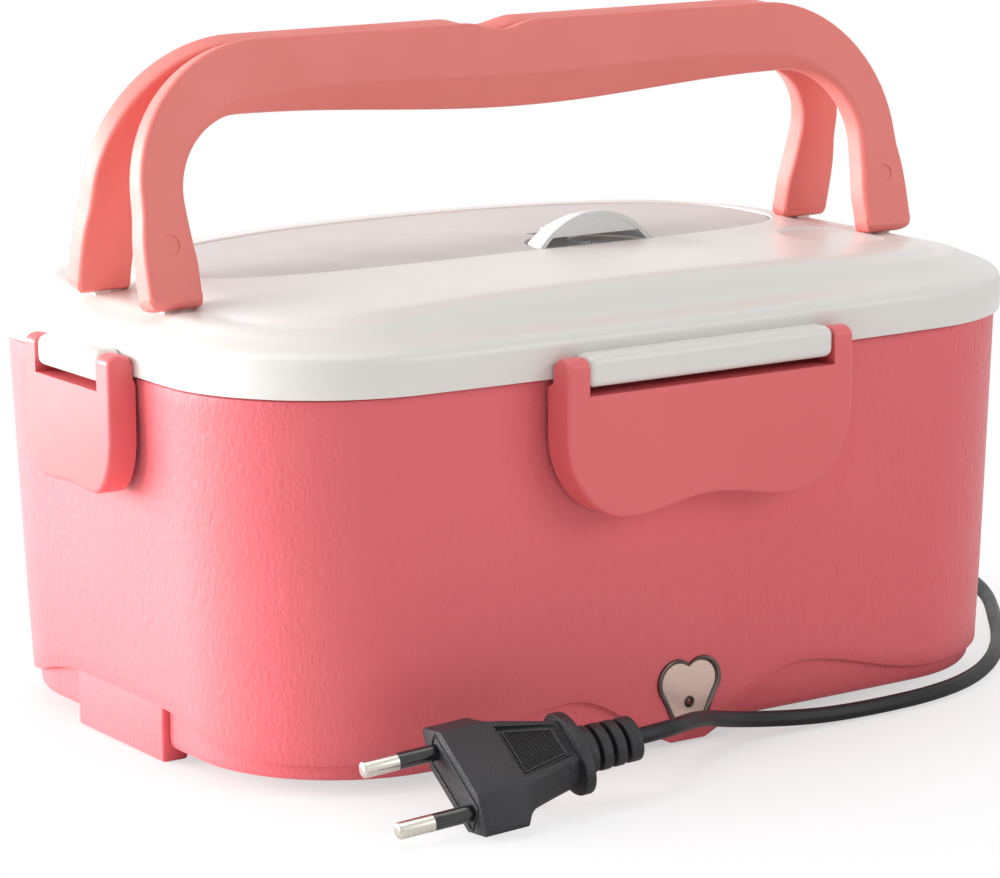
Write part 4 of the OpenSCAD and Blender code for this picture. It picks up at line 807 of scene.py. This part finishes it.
def makeLidShell(look):
    wall, low, crown, floor = look["wall"], look["lowZ"], look["crownZ"], look["floorZ"]
    under = [(62, 109.9), (22, 109.9, -2.6), (17.5, 107.9, -1), (13.5, 104.7), (9, 104.1), (3.6, 102.9),
             (wall, 101.7), (wall, low)]
    edge = [(0.4, low), (0.08, 94.92), (0, 95.2), (-0.12, 98.5)]
    top = [(0, 102.1, 0), (0.25, 103.2, 0), (0.95, 104.3, 0), (2.8, 105.35, 0), (7, 106.2, 0.6), (10, 107, 1),
           (12, 108.4, 0.2), (14, 110.3, -1.4), (16, 111.75, -2.9), (18, 112.75, -3.9), (20, 113.3, -3.95),
           (look["shoulder"], crown, look["ends"])]
    rings = [lidRing(*row) for row in (*under, *edge, *smoothRows(top, 4))]
    hem = panelRing(-0.9, crown)
    rings += [mixRing(rings[-1], hem, t) for t in (0.25, 0.5, 0.75)]
    rings += [hem, panelRing(-0.3, crown - 0.05), panelRing(0, crown - 0.3), panelRing(0.15, floor + 0.2)]
    rings += [panelRing(0.5, floor), panelRing(0, floor, 0.5), panelRing(0, floor, 0.06, 0)]
    bm = bmesh.new()
    loft(bm, rings)
    outwards(bm)
    lid = piece("lidShell", bm, lidWhite, "lid", ("lid_shell",), 34)
    cut(lid, rod, "Z", ventLook["steamRadius"], 20, (*ventLook["steam"], 105), 40)  # steam hole
    over, back = (radians(tilt) for tilt in look["dimpleTilt"])
    cut(lid, loft, [level(circle(r, 72), z) for r, z in ((12.9, -0.75), (13.6, -0.62), (14.1, 0.0), (14.4, 2))],
        turn=Matrix.Translation(look["dimple"]) @ Matrix.Rotation(over, 4, "Y") @ Matrix.Rotation(back, 4, "X"))


def onSide(turn, reach, z):
    # from a side's own place to the lid: latches and bars are made facing the front
    return Matrix.Rotation(radians(turn), 4, "Z") @ Matrix.Translation((0, -(reach + lidLook["latchOut"]), z))


def makeBars(look):
    for name, turn, side in (("frontBar", 0, "long"), ("backBar", 180, "long"),
                             ("rightBar", 90, "short"), ("leftBar", -90, "short")):
        bm = bmesh.new()
        box(bm, (2 * look[side + "Bar"], look["barDepth"], look["barHeight"]), (0, 0.5, 0), 2.2, 6)
        outwards(bm)
        bm.transform(onSide(turn, look[side], look["latchZ"] - look["barDrop"]))
        piece(name, bm, lidWhite, "lid")


def makeHandleLugs(look):
    bm = bmesh.new()
    for x in (-look["lugX"], look["lugX"]):
        for s in (-1, 1):  # a low post holds each pin
            y, z = s * look["handleY"], look["handleZ"]
            rod(bm, "X", 1.9, 5, (x, y, z), 40, 0.3)
            box(bm, (4.4, 2.6, 6.4), (x, y - s * 0.4, z - 3.2), 0.4, 2)
    outwards(bm)
    piece("handleLugs", bm, lidWhite, "lid")


def makeVentEars(look):
    y, z = look["pin"]
    bm = bmesh.new()
    for s in (-1, 1):
        x = look["at"][0] + s * look["ear"]
        rod(bm, "X", 0.95, 1.2, (x, y, z - 0.1), 32, 0.25)
        box(bm, (1.2, 1.9, 3), (x, y, z - 1.6), 0.25, 2)
    outwards(bm)
    piece("ventEars", bm, panelGrey, "lid")


def makePanel(look):
    low, thick = look["floorZ"] + 0.05, look["panelThick"]
    bm = bmesh.new()
    loft(bm, [panelRing(*row) for row in (
        (0.7, low, 0.06, 0), (0.7, low, 0.5), (0.7, low), (0.7, low + thick - 0.25), (0.95, low + thick),
        (0.7, low + thick, 0.75), (0.7, low + thick, 0.5), (0.7, low + thick, 0.06, 0))])
    outwards(bm)
    panel = piece("lidPanel", bm, panelGrey, "lid", ("lid_panel",), 34)
    x, y = ventLook["at"][:2]
    cut(panel, rod, "Z", ventLook["radius"] + 0.8, 20, (x, y, 112), 96)  # the vent's round place, then its ears'
    cut(panel, box, (12, 8, 20), (x, ventLook["pin"][0], 112))


makeLidShell(lidLook)
makeBars(lidLook)
makeHandleLugs(lidLook)
makeVentEars(ventLook)
makePanel(lidLook)
print("lid made")

latchLook = {
    "ear": 5.8, "earRadius": 3.3, "earFlat": 0.66, "face": 2.2, "edge": 1.1, "top": -6.8, "back": 3.3, "rim": 2.0,
    "long": {"half": 42.0, "low": -37.1, "lobe": 24, "dip": 3, "side": 21, "hook": 24, "hookTop": -22.1,
             "reach": 5.2, "deep": 5.6},
    "short": {"half": 21.4, "low": -32.0, "lobe": 12, "dip": 0.6, "side": 15, "hook": 13.6, "hookTop": -21.0,
              "reach": 5.1, "deep": 3.9},
}


def clipEdge(x, kind):
    # the lower edge of a clip: two lobes with a dip between them, and sides that curl up
    x = abs(x)
    if x > kind["lobe"]:
        off = (x - kind["lobe"]) / (kind["half"] - kind["lobe"])
        return kind["low"] + kind["side"] * (1 - sqrt(max(0, 1 - off ** 2)))
    return kind["low"] + kind["dip"] * (1 + cos(pi * x / kind["lobe"])) / 2


def makeLatchPlate(kind, look):
    # a flat outline given its depth, hollowed at the back and rounded at the front
    half, r, top = kind["half"], look["earRadius"], look["top"]
    bottom = [(x, clipEdge(x, kind)) for x in (half * sin(radians(t)) for t in range(-90, 91, 3))]
    right = [(half, z) for z in (-13, -11, -9, -7, -5.2, -3.9, -2, 0) if z > bottom[-1][1] + 0.5]
    inner = half - look["ear"]
    notch = [(inner, 0), (inner, top), (-inner, top), (-inner, 0)]
    left = [(-x, z) for x, z in reversed(right)]
    bm = bmesh.new()
    face = bm.faces.new([bm.verts.new((x, -r, z)) for x, z in bottom + right + notch + left])
    made = bmesh.ops.extrude_face_region(bm, geom=[face])["geom"]
    backFace = next(f for f in made if isinstance(f, bmesh.types.BMFace))
    for v in made:
        if isinstance(v, bmesh.types.BMVert):
            v.co.y = look["back"]
    bmesh.ops.inset_region(bm, faces=[backFace], thickness=look["rim"], use_even_offset=True)
    for v in backFace.verts:
        v.co.y = look["face"] - r
    hollow = set(backFace.verts)
    for v in bm.verts:
        if v not in hollow and v.co.y > 0 and v.co.z < -4.3:
            v.co.y = kind["deep"]
    outwards(bm)

    def isRounded(edge):  # on the front, but neither in the notch nor on top of the ears
        points = [v.co for v in edge.verts]
        inNotch = any(p.z > top - 0.01 and abs(p.x) < half - 0.01 for p in points)
        return all(abs(p.y + r) < 1e-4 for p in points) and not inNotch and not all(abs(p.z) < 1e-4 for p in points)

    bmesh.ops.bevel(bm, geom=[e for e in bm.edges if len(e.link_faces) == 2 and isRounded(e)], offset=look["edge"],
                    offset_type="OFFSET", segments=5, profile=0.5, affect="EDGES", material=-1)
    return bm


def makeLatch(name, node, side, turn, look=latchLook):
    kind, r, edge = look[side], look["earRadius"], look["edge"]
    bm = makeLatchPlate(kind, look)
    for s in (-1, 1):  # round ear tops, tangent to the face
        start, end = s * (kind["half"] - look["ear"] + 0.03), s * (kind["half"] - 0.03)
        rows = [(start, r - 0.35), (start + s * 0.1, r - 0.1), (start + s * 0.35, r)]
        rows += [(end - s * edge * (1 - sin(a)), r - edge * (1 - cos(a))) for a in map(radians, range(0, 91, 18))]
        loft(bm, [[(x, y, look["earFlat"] * z) for y, z in circle(radius, 56)] for x, radius in rows])
    hook, top, reach = kind["hook"], kind["hookTop"], kind["reach"]
    box(bm, (hook, reach + r - 1.7, 2), (0, (reach - r + 1.7) / 2, top - 1), 0.3, 2)
    for x in (-kind["half"] * 0.5, 0, kind["half"] * 0.5):  # thin ribs behind the face
        box(bm, (1.2, 3.4, 9), (x, -r + 2.2 + 1.5, top + 7), 0.3, 2)
    outwards(bm)
    bm.transform(onSide(turn, lidLook[side], lidLook["latchZ"]))
    piece(name, bm, clipCoral, node, (node,), 30)


makeLatch("frontLatch", "front_latch", "long", 0)
makeLatch("backLatch", "back_latch", "long", 180)
makeLatch("leftLatch", "left_latch", "short", -90)
makeLatch("rightLatch", "right_latch", "short", 90)
print("latches made")

handleLook = {
    "half": 115, "height": 58, "thick": 3.5, "edge": 0.8, "footIn": 100.4, "legIn": 101.8, "bend": 37, "bendX": 76.6,
    "turnX": 82.3, "gripHeight": 17.5, "belly": 3.6, "notchX": -6, "notchHalf": 11, "notchDeep": 2,
    "footRound": 4.7, "footCorner": 3.2, "lean": asin((17.5 - 3.5 - 0.3) / 58), "markZ": 10.5, "markRadius": 2.4,
}


def footSides(look):
    # the closed foot under the pin, as outside and inside points from its lowest row up
    low, corner = look["footRound"], look["footCorner"]
    outSide, inSide = [], []
    for z in (-0.995, -0.97, -0.92, -0.85, -0.76, -0.65, -0.52, -0.38, -0.22, -0.05):
        drop = max(0, (-z * low - low + corner) / corner)
        draw = corner * (1 - sqrt(1 - drop * drop))
        outSide.append((look["half"] - draw, z * low))
        inSide.append((look["footIn"] + 0.4 * draw, z * low))
    return outSide, inSide


def handleStations(look):
    # pairs of points along the handle: foot, leg, bend, grip, and the same again on the other side
    h, turnH, half, foot, leg = (look["height"], look["height"] - look["bend"], look["half"], look["footIn"],
                                 look["legIn"])
    outSide, inSide = footSides(look)
    outSide += smoothRows([(half, 0.8), (half, 6), (half - 0.3, 12), (half - 1.2, 18)], 4)
    inSide += smoothRows([(foot, 0.8), (foot, 6), (foot + 0.6, 11), (leg - 0.3, 16)], 4)
    acrossIn, upIn = leg - look["turnX"], h - look["gripHeight"] - turnH
    for a in map(radians, range(0, 91, 5)):
        outSide.append((look["bendX"] + look["bend"] * cos(a), turnH + look["bend"] * sin(a)))
        inSide.append((look["turnX"] + acrossIn * cos(a), turnH + upIn * sin(a)))
    outGrip, inGrip = [], []
    for k in range(1, 110):
        x = look["bendX"] * (1 - 2 * k / 110)
        off = min(1, abs(x - look["notchX"]) / look["notchHalf"])
        outGrip.append((x, h - look["notchDeep"] * cos(pi / 2 * off) ** 2))
        x = look["turnX"] * (1 - 2 * k / 110)
        inGrip.append((x, h - look["gripHeight"] - look["belly"] * cos(pi / 2 * x / look["turnX"]) ** 2))
    outFar, inFar = ([(-x, z) for x, z in reversed(side)] for side in (outSide, inSide))
    return list(zip(outSide + outGrip + outFar, inSide + inGrip + inFar))


def handleRing(out, inn, look):
    # one cross-section: rounded edges, and a broad slope under the front of the grip
    t, e, slope = look["thick"], look["edge"], 1.2
    if inn[1] >= look["height"] - look["bend"]:
        slope += 6 * cos(pi / 2 * min(1, abs(inn[0]) / (look["turnX"] + 8))) ** 0.6
    low = min(0, inn[1])
    limit = min(t, sqrt(max(0.05, look["footRound"] ** 2 - low * low)))
    out, inn = Vector(out), Vector(inn)
    run = (inn - out).normalized()
    points = [(out + e * run, -t), (inn - slope * run, -t), (inn, -t + min(4, 0.6 + slope / 2)), (inn, t - e),
              (inn - e * run, t), (out + e * run, t), (out, t - e), (out, -t + e)]
    return [(p.x, max(-limit, min(limit, y)), p.y) for p, y in points]


def runsAlong(edge):
    # an edge that runs the handle's length, above its foot
    one, two = (v.co for v in edge.verts)
    return abs(one.y - two.y) < 0.45 and min(one.z, two.z) > -1.7


def makeHandle(name, node, side, look=handleLook):
    bm = bmesh.new()
    loft(bm, [handleRing(out, inn, look) for out, inn in handleStations(look)])
    bmesh.ops.remove_doubles(bm, verts=bm.verts, dist=0.0005)
    outwards(bm)
    bevelSharp(bm, 0.55, 3, 16, runsAlong)
    stand = Matrix.Translation((0, -lidLook["handleY"], lidLook["handleZ"])) @ Matrix.Rotation(-look["lean"], 4, "X")
    stand = Matrix.Scale(side, 4, (0, 1, 0)) @ stand
    bm.transform(stand)
    outwards(bm)
    handle = piece(name, bm, handleCoral, node, (node,), 26)
    for x in (-lidLook["lugX"], lidLook["lugX"]):  # moulding marks
        cut(handle, rod, "Y", look["markRadius"], 0.5, (x, -look["thick"], look["markZ"]), 40, turn=stand)


makeHandle("frontHandle", "front_handle", 1)
makeHandle("rearHandle", "rear_handle", -1)
print("handles made")

def makeVent(look):
    (x, y, z), r, h = look["at"], look["radius"], look["height"]
    ball = (r * r + h * h) / (2 * h)
    rimAngle = asin(r / ball)

    def arc(inset, count):
        turns = [(rimAngle * i / count * 0.999, rimAngle * i / count) for i in range(count + 1)]
        return [((ball - inset) * sin(a), (ball - inset) * cos(b) - ball + h) for a, b in turns]

    profile = arc(0, 20) + [(px, max(0.0, pz)) for px, pz in reversed(arc(look["wall"], 20))]
    bm = bmesh.new()
    face = bm.faces.new([bm.verts.new((max(px, 0.02), 0, pz)) for px, pz in profile])
    bmesh.ops.spin(bm, geom=[face, *face.verts, *face.edges], angle=pi, steps=48, axis=(0, 0, 1), cent=(0, 0, 0),
                   use_merge=False)
    bmesh.ops.remove_doubles(bm, verts=bm.verts, dist=0.004)
    # the front wall stops above the slit that lets the steam out
    front = [(px, pz) for px, pz in arc(0.5, 24) if pz > look["slit"]]
    front = [(-px, pz) for px, pz in reversed(front[1:])] + front
    loft(bm, [[(px, py, pz) for px, pz in front] for py in (0.15, look["wall"])])
    pinY, pinZ = look["pin"]
    box(bm, (4.4, 3, 1.4), (0, pinY - y - 1.6, 0.7), 0.2, 2)
    rod(bm, "X", 1.2, 4.4, (0, pinY - y, pinZ - z), 32, 0.2)
    outwards(bm)
    bm.transform(Matrix.Translation(look["at"]))
    piece("ventCap", bm, ventClear, "vent", ("vent_cap",), 34)
    bm = bmesh.new()
    rod(bm, "X", 0.5, look["pinLength"], (x, pinY, pinZ - 0.05), 24, 0.1)
    outwards(bm)
    piece("ventPin", bm, zincSteel, "lid", ("vent_pin",))
    dress("vent_plug", silicone, 0.15, name="ventPlug", move=(look["plugMove"], 0, 0))


makeVent(ventLook)
print("vent made")


containerLook = {"inset": 15.3, "lean": 5, "top": 97, "leanHeight": 65}


def panRing(inset, z, look=containerLook):
    lean = look["lean"] * max(0, (look["top"] - z) / look["leanHeight"])
    return level(caseOutline(look["inset"] + inset + lean), z)


def makeContainer():
    outside = [panRing(*row) for row in (
        (9, 37.2), (6, 37.5), (2.4, 38.8), (0.8, 41.2), (0, 45.2), (0, 97.4), (-0.3, 98.6), (-1.2, 99))]
    rim = [level(caseOutline(inset), z) for inset, z in ((6.5, 99), (6.3, 99.2), (6.3, 99.6), (6.5, 99.8))]
    inside = [panRing(*row) for row in (
        (-0.6, 99.8), (0.5, 99.4), (0.8, 98.2), (0.8, 45.6), (1.6, 41.6), (3.2, 39.6), (6.8, 38.3), (9.8, 38))]
    bm = bmesh.new()
    loft(bm, outside + rim + inside)
    outwards(bm)
    piece("foodContainer", bm, panSteel, "container", ("food_container",))


makeContainer()
for node, mat, slot, bevel in (
    ("inner_well", insideWhite, "inner_white", 0.3), ("side_tray", insideWhite, "inner_white", 0.35),
    ("heater_plate", castAlu, "heater_alu", 0.3), ("ptc_heater", ceramicWhite, "ceramic", 0.25),
    ("heater_clamp", zincSteel, "zinc_steel", 0.2), ("heater_screws", zincSteel, "zinc_steel", 0.15),
    ("case_screws", zincSteel, "zinc_steel", 0.15), ("thermal_fuse", ceramicWhite, "ceramic", 0.15),
    ("fuse_clip", zincSteel, "zinc_steel", 0.1), ("terminal_block", insideWhite, "inner_white", 0.3),
    ("lamp_board", boardGreen, "board_green", 0.1), ("inner_wires", wireRed, "wire_insulation", 0),
    ("inner_lead", cordBlack, "cord_black", 0), ("cord_anchor", insideWhite, "inner_white", 0.25),
    ("lid_liner", insideWhite, "inner_white", 0.3), ("lid_seal", silicone, "seal_silicone", 0.4),
    ("long_latch_pins", zincSteel, "zinc_steel", 0.15), ("short_latch_pins", zincSteel, "zinc_steel", 0.15),
    ("handle_pins", zincSteel, "zinc_steel", 0.15),
):
    dress(node, mat, bevel)
print("inside dressed")


studioLook = {"floor": (0.96, 0.96, 0.96), "shade": ((0.97, 0.97, 0.97), (0.95, 0.95, 0.95)), "fade": (0.08, 0.2),
              "floorHalf": 6, "floorZ": -0.0002, "world": 0.42}
lampLook = {  # place, size, watts
    "keyLeft": ((-1.2, 0.95, 0.3), (1.7, 0.6), 56),
    "topSoft": ((-0.1, 0.1, 1.5), (1.2, 1.2), 8.5),
    "frontFill": ((0.9, -1.6, 0.9), (1.2, 0.8), 9),
}


def mathNode(tree, operation, one, two):
    node = tree.nodes.new("ShaderNodeMath")
    node.operation = operation
    tree.links.new(one, node.inputs[0])
    tree.links.new(two, node.inputs[1])
    return node.outputs[0]


def makeFloor(look):
    # the floor keeps the shadow near the part and fades to plain white away from it, for the camera only
    mat, shader = newFinish("floorWhite", look["floor"], 0.7)
    spot = objectPlace(mat)
    tint(mat, shader, spread(mat, noise(mat, spot, 3, 3), 0, 1), *look["shade"])
    shader.inputs["Specular IOR Level"].default_value = 0.1
    nodes, links = mat.node_tree.nodes, mat.node_tree.links
    ray, plain, mix, reach = (nodes.new("ShaderNode" + kind) for kind in (
        "LightPath", "Emission", "MixShader", "VectorMath"))
    reach.operation = "LENGTH"
    links.new(spot, reach.inputs[0])
    seen = mathNode(mat.node_tree, "MAXIMUM", ray.outputs["Is Camera Ray"], ray.outputs["Is Transmission Ray"])
    far = spread(mat, reach.outputs["Value"], 0.5, 1, *look["fade"])
    links.new(mathNode(mat.node_tree, "MULTIPLY", seen, far), mix.inputs["Fac"])
    links.new(shader.outputs["BSDF"], mix.inputs[1])
    links.new(plain.outputs["Emission"], mix.inputs[2])
    links.new(mix.outputs["Shader"], nodes["Material Output"].inputs["Surface"])
    bm = bmesh.new()
    bmesh.ops.create_grid(bm, x_segments=1, y_segments=1, size=look["floorHalf"])
    mesh = bpy.data.meshes.new("floor")
    bm.to_mesh(mesh)
    bm.free()
    mesh.materials.append(mat)
    floor = bpy.data.objects.new("floor", mesh)
    floor.location.z = look["floorZ"]
    scene.collection.objects.link(floor)


def makeWorld(look):
    # plain white to the camera, to metal and to clear pieces, and dimmer as a light
    world = bpy.data.worlds.new("studio")
    world.use_nodes = True
    tree = world.node_tree
    path, mix = tree.nodes.new("ShaderNodeLightPath"), tree.nodes.new("ShaderNodeMapRange")
    mix.inputs["To Min"].default_value, mix.inputs["To Max"].default_value = look["world"], 1.0
    seen = mathNode(tree, "MAXIMUM", path.outputs["Is Camera Ray"], path.outputs["Is Glossy Ray"])
    seen = mathNode(tree, "MAXIMUM", seen, path.outputs["Is Transmission Ray"])
    tree.links.new(seen, mix.inputs["Value"])
    tree.nodes["Background"].inputs["Color"].default_value = (1, 1, 1, 1)
    tree.links.new(mix.outputs["Result"], tree.nodes["Background"].inputs["Strength"])
    scene.world = world


def softbox(name, at, size, power, aim=(0, 0, 0.06)):
    light = bpy.data.lights.new(name, "AREA")
    light.shape, light.size, light.size_y, light.energy = "RECTANGLE", size[0], size[1], power
    lamp = bpy.data.objects.new(name, light)
    lamp.location = at
    lamp.rotation_mode = "QUATERNION"
    lamp.rotation_quaternion = (Vector(aim) - Vector(at)).to_track_quat("-Z", "Y")
    scene.collection.objects.link(lamp)


makeFloor(studioLook)
makeWorld(studioLook)
for name, facts in lampLook.items():
    softbox(name, *facts)
scene.view_settings.view_transform = "Standard"
print("floor and light set")
